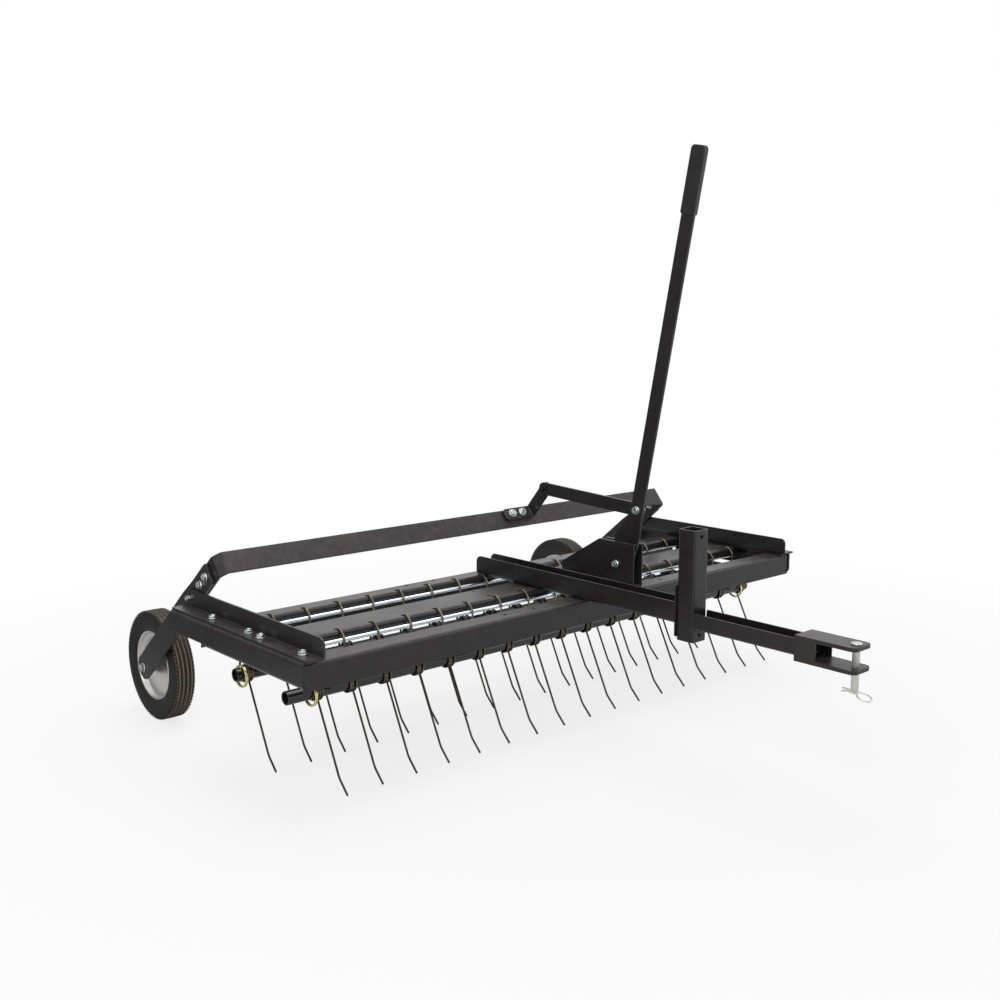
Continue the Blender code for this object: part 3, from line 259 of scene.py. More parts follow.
powder_black = painted("powder_black", (0.0092, 0.0077, 0.0073), (0.0150, 0.0125, 0.0118), (0.25, 0.34),
                       0.22, 0.30, 0.07)
gloss_black = painted("gloss_black", (0.005, 0.005, 0.006), (0.009, 0.009, 0.010), (0.16, 0.24),
                      0.15, 0.08, 0.05, 0.35)
clevis_black = painted("clevis_black", (0.013, 0.0105, 0.0095), (0.024, 0.0195, 0.0170), (0.28, 0.38),
                       0.4, 0.20, 0.20)
print("painted:", powder_black.name, gloss_black.name, clevis_black.name)

# %% [markdown]
# Bright parts are zinc plated steel. Fresh plate is bluish with faint yellow and green drifts from
# its chromate dip; on the rings that keep the tubes in, the dip is plainly yellow. A metal's colour
# is its reflection, so the drift goes to Base Color with Metallic at 1, or at a half on the dull hitch
# pin, and the streaks of the drawn wire go to a shallow bump. Tine wire is oil tempered and nearly
# black. Its height in Object coordinates picks where it is painted a brassy brown: on the hooks above
# the deck, where the colour is partly rubbed wire and partly painted light, and on a band round the
# middle of the coils, where it is a painted highlight. The legs and the rest of the coils stay dark.


# %% Metal finishes
def plated(name, cool, warm, rough, streak=0.10, scale=26.0, worn=0.35, metal=1.0):
    made, tree, drift = toned(name, scale, cool, warm)
    lines = use_group(tree, drawn, Scale=900.0, Length=0.03)
    colour, _ = layer(tree, scuff, drift["Color"], (0.34, 0.34, 0.33), Scale=60.0, Amount=worn)
    return surfaced(made, colour, drift["Mask"], rough, (lines["Height"], streak, 0.0002),
                    {"Metallic": metal}, (lines["Mask"], 0.06))


bright_zinc = plated("bright_zinc", (0.52, 0.60, 0.62), (0.72, 0.76, 0.74), (0.24, 0.33))
rod_zinc = plated("rod_zinc", (0.66, 0.75, 0.84), (0.76, 0.83, 0.90), (0.10, 0.14), 0.0, 5.0, 0.0)
pin_zinc = plated("pin_zinc", (0.56, 0.59, 0.53), (0.72, 0.72, 0.63), (0.28, 0.38), metal=0.5)
yellow_zinc = plated("yellow_zinc", (0.60, 0.56, 0.20), (0.78, 0.66, 0.34), (0.22, 0.32), scale=60.0)
dark_steel = plated("dark_steel", (0.035, 0.034, 0.033), (0.070, 0.066, 0.062), (0.30, 0.42))

made, tree, drift = toned("oil_tempered_wire", 38.0, (0.020, 0.0145, 0.009), (0.055, 0.040, 0.022))
lines = use_group(tree, drawn, Scale=700.0, Length=0.3)
height = add(tree, "ShaderNodeSeparateXYZ", {0: object_place(tree)})[2]
rubbed_and_lit = use_group(tree, tone, Scale=55.0, Dark=(0.10, 0.082, 0.048), Light=(0.27, 0.225, 0.140))
# Masks by height: the hooks, partly rubbed and partly painted light, and the coils' painted highlight band.
hooks, below, above = (
    between(tree, height, DECK_ZERO.z - deep, DECK_ZERO.z - high, *ends) for deep, high, *ends in
    ((0.062, 0.045, 0.0, 1.0), (0.084, 0.078, 0.6, 0.0), (0.102, 0.095, 0.0, 1.0)))
rubbed_and_lit_share = maths(tree, "MAXIMUM", hooks, maths(tree, "MULTIPLY", below, above))
colour = mixed(tree, rubbed_and_lit_share, drift["Color"], rubbed_and_lit["Color"])
spring_wire = surfaced(made, colour, lines["Mask"], (0.30, 0.42), (lines["Height"], 0.15, 0.0002),
                       {"Metallic": 0.8})
print("metals:", bright_zinc.name, rod_zinc.name, pin_zinc.name, spring_wire.name)

# %% [markdown]
# The wheels have a moulded rubber tyre on a pressed, silver painted rim. Rubber is matt and takes
# brown dust in its grooves. The rim's paint is fine metallic flake. The lever's grip is a dipped
# vinyl sleeve with a soft leathery grain.

# %% Rubber, rim paint and grip vinyl
made, tree, drift = toned("tyre_rubber", 14.0, (0.0068, 0.0062, 0.0058), (0.0125, 0.0112, 0.0102))
# Brown dust on upward faces, which also paints them lighter as light from above.
colour, _ = layer(tree, dust_and_top_light, drift["Color"], (0.12, 0.095, 0.07), Amount=0.30, Scale=90.0)
line = add(tree, "ShaderNodeAttribute", attribute_name="groove")["Fac"]
height = use_group(tree, peel, Scale=900.0)["Height"]
rubber = surfaced(made, mixed(tree, line, colour, (0.46, 0.37, 0.25)), drift["Mask"], (0.52, 0.68),
                  (height, 0.5, 0.0005), {"Specular IOR Level": 0.35})

made, tree, drift = toned("rim_silver", 6.0, (0.60, 0.58, 0.56), (0.72, 0.70, 0.68))
# Beige dust on upward faces, which also paints them lighter as light from above.
colour, _ = layer(tree, dust_and_top_light, drift["Color"], (0.33, 0.29, 0.24), Amount=0.16, Scale=40.0)
colour, _ = layer(tree, scuff, colour, (0.30, 0.30, 0.30), Scale=30.0, Amount=0.10)
height = use_group(tree, peel, Scale=420.0)["Height"]
rim_silver = surfaced(made, colour, drift["Mask"], (0.24, 0.34), (height, 0.25, 0.0004), {"Metallic": 0.8})

made, tree, drift = toned("grip_vinyl", 30.0, (0.009, 0.009, 0.010), (0.016, 0.016, 0.017))
height = add(tree, "ShaderNodeTexVoronoi", {"Vector": object_place(tree), "Scale": 900.0},
             feature="SMOOTH_F1")["Distance"]
grip_vinyl = surfaced(made, drift["Color"], drift["Mask"], (0.40, 0.52), (height, 0.35, 0.0004), {})
print("finishes in all:", len(bpy.data.materials))

# %% [markdown]
# Every finished piece ends the same way: its mesh holds its place, it takes one finish, rides on the
# model's moving body, and stands in for the plain solid of the same part. Edges of real sheet are
# never razor sharp, so a Bevel modifier rounds them and Weighted Normal keeps the flats flat.

# %% Piece helpers
BODY_OF = {node: body for body, nodes in frame["record"]["behaviour"]["bodies"].items() for node in nodes}


def settled(obj):
    """The object's shape with its modifiers worked out, as a plain mesh."""
    bpy.context.view_layer.update()
    seen = obj.evaluated_get(bpy.context.evaluated_depsgraph_get())
    data = bpy.data.meshes.new_from_object(seen)
    bpy.data.objects.remove(obj, do_unlink=True)
    return data


def to_data(mesh):
    data = bpy.data.meshes.new("shape")
    for face in mesh.faces:
        face.smooth = True
    mesh.to_mesh(data)
    mesh.free()
    return data


def softened(data, width, steps=2, angle=40):
    """The shape with its edges rounded and its flat faces shaded flat."""
    obj = link(data)
    bevel = obj.modifiers.new("edges", "BEVEL")
    bevel.width = width
    bevel.segments = steps
    bevel.limit_method = "ANGLE"
    bevel.angle_limit = math.radians(angle)
    bevel.use_clamp_overlap = True
    obj.modifiers.new("flats", "WEIGHTED_NORMAL").keep_sharp = True
    return settled(obj)


def joined(parts):
    mesh = bmesh.new()
    for data in parts:
        mesh.from_mesh(data)
    return to_data(mesh)


def finished(name, data, material, nodes=(), smooth_angle=None, body="frame"):
    """The piece, on the body of the nodes it stands in for."""
    obj = link(data, name)
    data.name = name
    data.materials.clear()
    data.materials.append(material)
    if smooth_angle:
        data.shade_smooth()
        data.set_sharp_from_angle(angle=math.radians(smooth_angle))
    body = BODY_OF[nodes[0]] if nodes else body
    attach(obj, body)
    if nodes:
        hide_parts(*nodes)
    return obj


print("bodies:", sorted(set(BODY_OF.values())))

# %% [markdown]
# Plates and bent sheet whose solid already has the right outline are taken from the model: a copy is
# merged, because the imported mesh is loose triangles, its flat faces are made whole again, and its
# edges are rounded a little. Cutting these shapes a second time would only risk moving them.


# %% Plates and channels from the model
def from_solid(node):
    mesh = bmesh.new()
    mesh.from_mesh(frame["nodes"][node].data)
    bmesh.ops.remove_doubles(mesh, verts=mesh.verts, dist=1e-5)
    bmesh.ops.dissolve_limit(mesh, angle_limit=math.radians(0.8), verts=mesh.verts, edges=mesh.edges)
    return to_data(mesh)


PLATES = {                   # how wide the edges are rounded, and on which nodes
    0.0009: ("tube_hanger_left", "tube_hanger_right", "tongue_end_plate", "lever", "lift_link"),
    0.0012: ("upstand_left", "upstand_right"),
    0.0007: ("tongue", "drawbar", "mast", "lever_bracket"),
    0.0013: ("drawbar_clevis",),
}
EAR_TRIM = 0.0052            # the real ears end a little sooner past the pin
EAR_TIP = 0.0101             # what is this near the ears' ends moves back with them
ear_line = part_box("drawbar_clevis")[0].y + EAR_TIP
for width, nodes in PLATES.items():
    for node in nodes:
        data = from_solid(node)
        if node == "drawbar_clevis":
            for vertex in data.vertices:
                if vertex.co.y < ear_line:
                    vertex.co.y += EAR_TRIM
        made = finished(node + "_plate", softened(data, width),
                        clevis_black if node == "drawbar_clevis" else powder_black, [node])
        print("%-26s %5d faces" % (made.name, len(made.data.polygons)))

# %% [markdown]
# The three deck strips and the two side channels are sheet folded on a brake. Their section is drawn
# as a line with rounded corners, given the sheet's thickness, and run along the piece. Holes and the
# notches that the tines hook into are cut with Boolean modifiers before the edges are rounded.


# %% Folded sheet
def rounded(corners, steps):
    """An outline whose corners (u, v, radius) are rounded."""
    made = []
    for k, (u, v, radius) in enumerate(corners):
        here = Vector((u, v))
        if radius <= 0:
            made.append((u, v))
            continue
        before = (Vector(corners[k - 1][:2]) - here).normalized()
        after = (Vector(corners[(k + 1) % len(corners)][:2]) - here).normalized()
        half = before.angle(after) / 2
        middle = here + (before + after).normalized() * radius / math.sin(half)
        start = here + before * radius / math.tan(half) - middle
        sweep = start.angle_signed(here + after * radius / math.tan(half) - middle)
        for step in range(steps + 1):
            point = middle + Matrix.Rotation(-sweep * step / steps, 2) @ start
            made.append((point.x, point.y))
    return made


def sheet_section(path, thick, bend, steps=8):
    """The outline of bent sheet whose middle follows path."""
    points = [Vector(p) for p in path]
    ways = [(b - a).normalized() for a, b in zip(points, points[1:])]
    left, right = [], []
    for k, point in enumerate(points):
        before, after = ways[max(k - 1, 0)], ways[min(k, len(ways) - 1)]
        normal = Vector((-before.y - after.y, before.x + after.x)) / (1 + before.dot(after))
        turn = before.cross(after)
        inner, outer = bend - thick / 2, bend + thick / 2
        radii = (0, 0) if k in (0, len(points) - 1) else (inner, outer) if turn > 0 else (outer, inner)
        left.append((*(point + normal * thick / 2), radii[0]))
        right.append((*(point - normal * thick / 2), radii[1]))
    return rounded(left + right[::-1], steps)


def prism(loop, low, high, axis, where=None):
    """A solid of one outline, run from low to high along an axis of the deck, or of another frame."""
    where = where or Matrix.Translation(DECK_ZERO)
    order = {"x": (2, 0, 1), "y": (0, 2, 1), "z": (0, 1, 2)}[axis]
    mesh = bmesh.new()
    ends = []
    for along in (low, high):
        ends.append([mesh.verts.new(where @ Vector([(u, v, along)[k] for k in order])) for u, v in loop])
    for k in range(len(loop)):
        mesh.faces.new((ends[0][k - 1], ends[0][k], ends[1][k], ends[1][k - 1]))
    for end in ends:
        mesh.faces.new(end)
    bmesh.ops.recalc_face_normals(mesh, faces=mesh.faces)
    return to_data(mesh)


def peg(place, radius, depth):
    mesh = bmesh.new()
    bmesh.ops.create_cone(mesh, cap_ends=True, segments=24, radius1=radius, radius2=radius,
                          depth=depth, matrix=Matrix.Translation(place))
    return to_data(mesh)


def block(low, high):
    mesh = bmesh.new()
    low, high = deck(*low), deck(*high)
    where = Matrix.Translation((low + high) / 2) @ Matrix.Diagonal((*(high - low), 1))
    bmesh.ops.create_cube(mesh, size=1, matrix=where)
    return to_data(mesh)


def cut(data, tools):
    obj, tool = link(data), link(joined(tools), "cutter")
    step = obj.modifiers.new("cut", "BOOLEAN")
    step.solver = "EXACT"
    step.object = tool
    data = settled(obj)
    bpy.data.objects.remove(tool, do_unlink=True)
    return data


print("a quarter bend has", len(sheet_section([(0, 0), (1, 0), (1, 1)], 0.1, 0.3)) - 4, "points")

# %% Sizes of the deck, in metres
STRIP_HALF, STRIP_SHEET, STRIP_BEND = 0.6795, 0.003, 0.005
STRIP_LIP, STRIP_FACE = 0.010, 0.048       # depths of a turned edge and of a deep outer face
HOOK_LIP = 0.020                           # depth of the front edge that the tines hook over
STRIP_EDGE, CHANNEL_EDGE = 0.0005, 0.0007  # how wide the sheet's edges are rounded
FRONT_STRIP = (-0.132, 0.048)              # front edge and width
MIDDLE_STRIP = (0.005, 0.086)
REAR_STRIP = (0.181, 0.046)
HOLE_R, HOLE_IN, REAR_HOLE_Y = 0.0036, 0.024, 0.2132
NOTCH_HALF, NOTCH_FRONT, NOTCH_BACK, NOTCH_DEPTH, NOTCH_OVER = 0.0038, 0.0075, 0.0185, 0.006, 0.001
CUT_SPARE = 0.01                           # how far a cutter stands past the sheet
CHANNEL_HALF, CHANNEL_SHEET, CHANNEL_BEND = 0.685, 0.004, 0.006
CHANNEL_TOP, CHANNEL_FOOT = 0.0003, -0.0427
CHANNEL_INNER, CHANNEL_LIP = 0.649, 0.0095
CHANNEL_FRONT, CHANNEL_STEP, CHANNEL_BACK, CHANNEL_RISE = -0.1345, 0.214, 0.341, 0.006
BOLT_X, BOLT_Y = 0.662, (-0.103, 0.034, 0.076, 0.209)
TINE_COUNT = 17
TINE_PITCH = 0.0762
ROW_BACK = 0.176
ROWS = (("front", 0.0), ("rear", ROW_BACK))
ROW_START = {"front": 0.012 - 8 * TINE_PITCH, "rear": -0.0261 - 8 * TINE_PITCH}
HOOK_SHIFT = 0.0068          # from a tine's own zero to the middle of its hook
print("a row of tines is %.3f m wide" % (TINE_PITCH * (TINE_COUNT - 1)))


# %% Deck strips
def strip(name, place, front_depth, back_depth, holes, row=None):
    front, width = place
    half = STRIP_SHEET / 2
    path = [(front + half, -front_depth), (front + half, -half), (front + width - half, -half),
            (front + width - half, -back_depth)]
    section = sheet_section(path, STRIP_SHEET, STRIP_BEND, 6)
    tools = [peg(deck(x, y, 0), HOLE_R, 2 * CUT_SPARE) for x, y in holes]
    for k in range(TINE_COUNT if row else 0):
        hook = ROW_START[row] + HOOK_SHIFT + k * TINE_PITCH
        tools.append(block((hook - NOTCH_HALF, front + NOTCH_FRONT, -NOTCH_DEPTH),
                           (hook + NOTCH_HALF, front + NOTCH_BACK, NOTCH_OVER)))
    data = softened(cut(prism(section, -STRIP_HALF, STRIP_HALF, "x"), tools), STRIP_EDGE, 2, 50)
    return finished(name + "_sheet", data, powder_black, [name])


strips = [
    strip("strip_front", FRONT_STRIP, STRIP_FACE, STRIP_LIP,
          [(x, FRONT_STRIP[0] + HOLE_IN) for x in (-0.214, -0.138, 0.179, 0.241)]),
    strip("strip_middle", MIDDLE_STRIP, HOOK_LIP, STRIP_LIP, [(-0.137, 0.029), (-0.137, 0.0747)],
          "front"),
    strip("strip_rear", REAR_STRIP, HOOK_LIP, STRIP_FACE,
          [(x, REAR_HOLE_Y) for x in (-0.208, -0.134, 0.253)], "rear"),
]
print([(s.name, len(s.data.polygons)) for s in strips])

# %% Side channels
for side, word in SIDES:
    half = CHANNEL_SHEET / 2
    top, bottom, outer = CHANNEL_TOP + half, CHANNEL_FOOT + half, side * (CHANNEL_HALF - half)
    path = [(side * CHANNEL_INNER, top), (outer, top), (outer, bottom),
            (side * (CHANNEL_HALF - CHANNEL_LIP), bottom)]
    data = prism(sheet_section(path, CHANNEL_SHEET, CHANNEL_BEND), CHANNEL_FRONT, CHANNEL_BACK, "y")
    step = [block((side * CHANNEL_HALF - 2 * CUT_SPARE, CHANNEL_STEP, bottom - 2 * CUT_SPARE),
                  (side * CHANNEL_HALF + 2 * CUT_SPARE, CHANNEL_BACK + CUT_SPARE,
                   bottom - half + CHANNEL_RISE))]
    made = finished("side_channel_%s_sheet" % word, softened(cut(data, step), CHANNEL_EDGE, 2, 50),
                    powder_black, ["side_channel_" + word])
print(made.name, len(made.data.polygons), "faces")

# %% [markdown]
# Tines are the heart of the tool. One wire hooks over its rod, drops to the tube, winds tightly
# round it to make the spring, and ends in a long leg that kinks forward. The path of one tine is
# enough: Geometry Nodes turn it into round wire and repeat it along the row at an even pitch. Where
# the path's "stout" attribute isn't zero, the wire is thicker by that share. The same network with
# a count of one makes the weld bead, the rings and the clip.

# %% Geometry Nodes: wire along a path, repeated
GEOMETRY = {"Geometry": "Geometry"}


def grown(data, tree, values):
    """The mesh that a Geometry Nodes tree makes from data, with its named inputs set."""
    obj = link(data)
    step = obj.modifiers.new("grow", "NODES")
    step.node_group = tree
    for item in tree.interface.items_tree:
        if item.item_type == "SOCKET" and item.in_out == "INPUT" and item.name in values:
            step[item.identifier] = values[item.name]
    return settled(obj)


def send(tree, geometry, into, out):
    """Instances made real, coated with the finish and sent out."""
    real = add(tree, "GeometryNodeRealizeInstances", {0: geometry})[0]
    coated = add(tree, "GeometryNodeSetMaterial", {"Geometry": real, "Material": into["Finish"]})[0]
    tree.links.new(coated, out[0])


wires, into, out = new_group("repeated_wire", "GeometryNodeTree", {
    **GEOMETRY, "Wire Radius": 0.002, "Sides": 12, "Count": 1, "Pitch": TINE_PITCH, "Start": 0.0,
    "Finish": "Material"}, GEOMETRY)
line = add(wires, "GeometryNodeMeshToCurve", {"Mesh": into["Geometry"]})[0]
ring = add(wires, "GeometryNodeCurvePrimitiveCircle", {"Resolution": into["Sides"],
                                                       "Radius": into["Wire Radius"]})[0]
stout = add(wires, "GeometryNodeInputNamedAttribute", {"Name": "stout"}, data_type="FLOAT")[0]
share = maths(wires, "ADD", stout, 1.0)
sized = add(wires, "GeometryNodeSetCurveRadius", {"Curve": line, "Radius": share})[0]
wire = add(wires, "GeometryNodeCurveToMesh", {"Curve": sized, "Profile Curve": ring, "Fill Caps": True})[0]
first = add(wires, "ShaderNodeCombineXYZ", {0: into["Start"]})[0]
spacing = add(wires, "ShaderNodeCombineXYZ", {0: into["Pitch"]})[0]
row = add(wires, "GeometryNodeMeshLine", {"Count": into["Count"], "Start Location": first,
                                          "Offset": spacing})[0]
send(wires, add(wires, "GeometryNodeInstanceOnPoints", {"Points": row, "Instance": wire})[0], into, out)


def wired(points, radius, material, stoutness=None, sides=10, count=1, pitch=TINE_PITCH, start=0.0):
    """Round wire through points, with a share of extra thickness at each if stoutness gives it."""
    data = bpy.data.meshes.new("path")
    data.from_pydata([tuple(p) for p in points], [(k, k + 1) for k in range(len(points) - 1)], [])
    if stoutness:
        data.attributes.new("stout", "FLOAT", "POINT").data.foreach_set("value", stoutness)
    return grown(data, wires, {"Wire Radius": radius, "Sides": sides, "Count": count, "Pitch": pitch,
                               "Start": start, "Finish": material})


def eased(points, steps=6):
    """A smooth line through the points."""
    made = []
    for k in range(len(points) - 1):
        p0, p1, p2 = (Vector(points[max(k + n, 0)]) for n in (-1, 0, 1))
        p3 = Vector(points[min(k + 2, len(points) - 1)])
        for step in range(steps):
            t = step / steps
            made.append(0.5 * ((2 * p1) + (p2 - p0) * t + (2 * p0 - 5 * p1 + 4 * p2 - p3) * t * t
                               + (3 * p1 - p0 - 3 * p2 + p3) * t * t * t))
    made.append(Vector(points[-1]))
    return made


print("tree", wires.name, "has", len(wires.nodes), "nodes")

# %% Sizes of the tines
WIRE_R = 0.002
COIL_R = 0.0154
COIL_TURNS, COIL_POINTS = 3, 26            # the points are for each turn
COIL_PITCH = 0.0042          # of the tight turns; the last turn runs out to the leg
COIL_SHIFT = -0.0056
END_COIL_SHIFT = 0.0016      # a row's first and last coil stand off for the linch pins
LEG_SHIFT = 0.0165
LEG_LENGTH, LEG_LEAN, KINK_STEP, TIP_LENGTH = 0.152, 0.0004, 0.0025, 0.030
HOOK_STOUT = 0.35            # how much thicker the wire is drawn in the hook
HOOK = mm((0, 20.5, -6.2), (0, 18, -1.2), (0, 12, 2.2), (0, 5, -0.6), (0, -3, -8), (-0.5, -6.2, -16.5),
          (-3, -7.2, -40))
RISER_FOOT = (0.0022, -0.0080, -0.0700)    # where the riser leads into the coil's first turn
ROD_R, ROD_Y, ROD_Z, ROD_HALF = 0.004, -0.0015, -0.016, 0.6807
TUBE_R, TUBE_Y, TUBE_Z, TUBE_HALF = 0.0127, -0.025, -0.090, 0.652
LEG_START = math.radians(26.5)
LEG_KINK, KINK_STEPS = math.radians(19), 5
COIL_GAP = 0.0004            # between the tube's top and the coil that hangs on it
COIL_Z = TUBE_Z + TUBE_R + COIL_GAP + WIRE_R - COIL_R


def coil_x(shift, turns, total):
    tight = shift + COIL_PITCH * min(turns, COIL_TURNS - 1)
    run_out = max(turns - COIL_TURNS + 1, 0) / (total - COIL_TURNS + 1)
    return tight + (LEG_SHIFT - shift - COIL_PITCH * (COIL_TURNS - 1)) * run_out


def tine_path(back, shift):
    """Hook, riser, coil and leg of a tine at x = 0, as points from tip to tip."""
    y = ROD_Y + back
    foot = (shift + RISER_FOOT[0], y + RISER_FOOT[1], RISER_FOOT[2])
    hook = eased([(HOOK_SHIFT + x, y + u, z) for x, u, z in HOOK] + [foot], 5)
    total = 2 * math.pi * COIL_TURNS + LEG_START
    steps = COIL_POINTS * COIL_TURNS
    turns = total / (2 * math.pi)
    coil = [Vector((coil_x(shift, turns * k / steps, turns),
                    TUBE_Y + back + COIL_R * math.cos(total * k / steps),
                    COIL_Z - COIL_R * math.sin(total * k / steps))) for k in range(steps + 1)]
    way = -math.pi / 2 - LEG_START
    leg = [coil[-1] + Vector((LEG_LEAN, math.cos(way), math.sin(way))) * LEG_LENGTH]
    for k in range(1, KINK_STEPS + 1):
        turn = way - LEG_KINK * k / KINK_STEPS
        length = KINK_STEP if k < KINK_STEPS else TIP_LENGTH
        leg.append(leg[-1] + Vector((0, math.cos(turn), math.sin(turn))) * length)
    return [deck(*p) for p in hook + coil + leg]


tine = tine_path(0.0, COIL_SHIFT)
print("one tine runs through %d points and is %.3f m high" % (len(tine), tine[0].z - tine[-1].z))

# %% [markdown]
# The wire is drawn a little stouter where it hooks over its rod, because the hooks look wider than
# the legs in the photo. The rods and the tubes inside the coils are turned on their own axis from an
# outline: pairs of radius and height, with the edges broken. A tube's outline is a closed ring, and a
# rod's starts and ends on the axis.

# %% Tine rows, their rods and tubes
def round_ring(radius, height, count):
    return [(radius * math.cos(2 * math.pi * k / count), radius * math.sin(2 * math.pi * k / count), height)
            for k in range(count)]


def turned(profile, segments, outward, place):
    """A turned piece from its (radius, height) outline; heights run along outward from place."""
    mesh = bmesh.new()
    frame_turn = Vector((0, 0, 1)).rotation_difference(Vector(outward)).to_matrix().to_4x4()
    where = Matrix.Translation(place) @ frame_turn
    rings = [[mesh.verts.new(where @ Vector(point)) for point in
              round_ring(radius, height, segments if radius > 1e-7 else 1)] for radius, height in profile]
    pairs = list(zip(rings, rings[1:]))
    if profile[0][0] > 1e-7:
        pairs.append((rings[-1], rings[0]))
    for low, high in pairs:
        for k in range(segments):
            after = (k + 1) % segments
            corners = list(dict.fromkeys([low[k % len(low)], low[after % len(low)],
                                          high[after % len(high)], high[k % len(high)]]))
            if len(corners) > 2:
                mesh.faces.new(corners)
    bmesh.ops.recalc_face_normals(mesh, faces=mesh.faces)
    return to_data(mesh)


def tine_run(back, shift, start, count, pitch):
    """Equal tines along a row; the wire is drawn a little stouter where it hooks over the rod."""
    path = tine_path(back, shift)
    above = [min(max((p.z - DECK_ZERO.z - ROD_Z) / (2 * ROD_R), 0.0), 1.0) for p in path]
    stoutness = [HOOK_STOUT * share for share in above]
    return wired(path, WIRE_R, spring_wire, stoutness, 10, count, pitch, start)


TUBE_WALL, TUBE_EDGE, ROD_EDGE = 0.0025, 0.0005, 0.0006
for word, back in ROWS:
    first = ROW_START[word]
    data = joined([tine_run(back, COIL_SHIFT, first + TINE_PITCH, TINE_COUNT - 2, TINE_PITCH),
                   tine_run(back, END_COIL_SHIFT, first, 2, TINE_PITCH * (TINE_COUNT - 1))])
    finished("tines_" + word, data, spring_wire, ["tine_row_" + word], 60)
    rod = [(0, -ROD_HALF), (ROD_R - ROD_EDGE, -ROD_HALF), (ROD_R, ROD_EDGE - ROD_HALF)]
    rod = turned(rod + [(r, -x) for r, x in reversed(rod)], 28, (1, 0, 0), deck(0, ROD_Y + back, ROD_Z))
    finished("tine_rod_" + word, rod, rod_zinc, ["tine_row_" + word], 60)
    inner = TUBE_R - TUBE_WALL
    tube = [(TUBE_R - TUBE_EDGE, TUBE_HALF), (TUBE_R, TUBE_HALF - TUBE_EDGE)]
    bore = [(inner, TUBE_HALF - TUBE_EDGE), (inner + TUBE_EDGE, TUBE_HALF)]
    outline = tube + [(r, -x) for r, x in reversed(bore + tube)] + bore
    tube = turned(outline, 48, (1, 0, 0), deck(0, TUBE_Y + back, TUBE_Z))
    finished("coil_tube_" + word, tube, gloss_black, ["tine_tube_" + word], 40)
    print(word, "row:", len(data.polygons), "faces of wire")

# %% [markdown]
# The drawbar is welded to the mast along its sides and bottom. A bead of weld is a row of small
# overlapping drops, so it is a wire round the seam whose thickness ripples, with the frame's paint
# over it. It isn't in the solids, and rides on the frame beside them.

# %% Weld bead on the mast
BEAD_R, BEAD_STEP, BEAD_RIPPLE, BEAD_WAVE = 0.0019, 0.0009, 0.16, 1.3
BEAD_INSET, BEAD_DROP, BEAD_OUT = 0.0012, 0.003, 0.0006
bar_low, bar_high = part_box("drawbar")
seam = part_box("mast")[0].y - BEAD_OUT
left, right = bar_low.x + BEAD_INSET, bar_high.x - BEAD_INSET
top, bottom = bar_high.z - BEAD_DROP, bar_low.z + BEAD_INSET
corners = [(left, top), (left, bottom), (right, bottom), (right, top)]
path = []
for (x0, z0), (x1, z1) in zip(corners, corners[1:]):
    count = max(int(math.hypot(x1 - x0, z1 - z0) / BEAD_STEP), 2)
    path += [Vector((x0 + (x1 - x0) * k / count, seam, z0 + (z1 - z0) * k / count)) for k in range(count)]
ripple = [BEAD_RIPPLE * math.sin(k * BEAD_WAVE) for k in range(len(path))]
bead = wired(path, BEAD_R, powder_black, ripple)
made = finished("drawbar_weld_bead", bead, powder_black, smooth_angle=60)
print("weld bead:", len(made.data.polygons), "faces")

# %% [markdown]
# A linch pin goes through each end of a tube, and keeps the row's last coil from sliding off. Its
# sprung ring, two turns of yellow plated wire, snaps over the tube. The ring is a path again.

# %% Linch pins at the tubes' ends
RING_R, RING_WIRE, RING_PITCH, RING_BACK, RING_TURNS = 0.0195, 0.0019, 0.0046, 0.0056, 1.9
RING_GAP, RING_START, RING_STEPS = 0.0002, math.radians(75), 48


def linch_pin(x, back):
    """A plated pin through the tube, kept by two turns of spring wire that hang on the tube."""
    y = TUBE_Y + back
    top, tip = TUBE_Z + TUBE_R, TUBE_Z - TUBE_R
    pin = [(radius, top + z) for radius, z in mm((0, 4.8), (3, 4.6), (4, 3.4), (4, 0.4), (2.2, 0.2))]
    pin += [(radius, tip - z) for radius, z in mm((2.2, 2), (1.4, 3.4), (0, 3.6))]
    pin = turned(pin, 20, (0, 0, 1), deck(x - RING_BACK + RING_PITCH / 2, y, 0))
    centre_z = top + RING_WIRE + RING_GAP - RING_R
    ring = []
    for k in range(RING_STEPS + 1):
        angle = RING_START - 2 * math.pi * RING_TURNS * k / RING_STEPS
        ring.append(deck(x - RING_BACK + RING_PITCH * k / RING_STEPS, y + RING_R * math.cos(angle),
                         centre_z + RING_R * math.sin(angle)))
    return [pin, wired(ring, RING_WIRE, yellow_zinc)]


parts = []
for word, back in ROWS:
    for place in (ROW_START[word], ROW_START[word] + TINE_PITCH * (TINE_COUNT - 1)):
        parts += linch_pin(place, back)
made = finished("linch_pins", joined(parts), yellow_zinc, smooth_angle=40)
print("linch pins and rings:", len(made.data.polygons), "faces")

# %% [markdown]
# Hex bolts hold the deck, the yoke and the linkage. A real one has a chamfered head, a pressed
# flange or washer under it, and on the far side a nut with a little thread showing. One bolt is
# drawn per size, and Geometry Nodes set it on each hole, turned to the angle that the spanner left it
# at: a random angle from a fixed seed. A bolt's numbers are its shank's radius, its grip, and the
# radii of its washer and of its head's corners.

# %% One hex bolt
WASHER, WASHER_EDGE, SEAT_GAP, THREAD = 0.0013, 0.0004, 0.0002, 0.0006
HEAD_HIGH, NUT_HIGH = 1.35, 1.6              # shares of the bolt's radius, as are the next three
SHANK, THREAD_ROOT, THREAD_END = 0.98, 0.86, 0.8
CHAMFER, FLAT_DROP = 0.13, 0.35              # a corner's drop by its radius, a flat's by the corner's
CROWN, DISH_RIM, DISH_BASE = 0.95, 0.74, 0.64    # shares of the distance from the axis to a flat


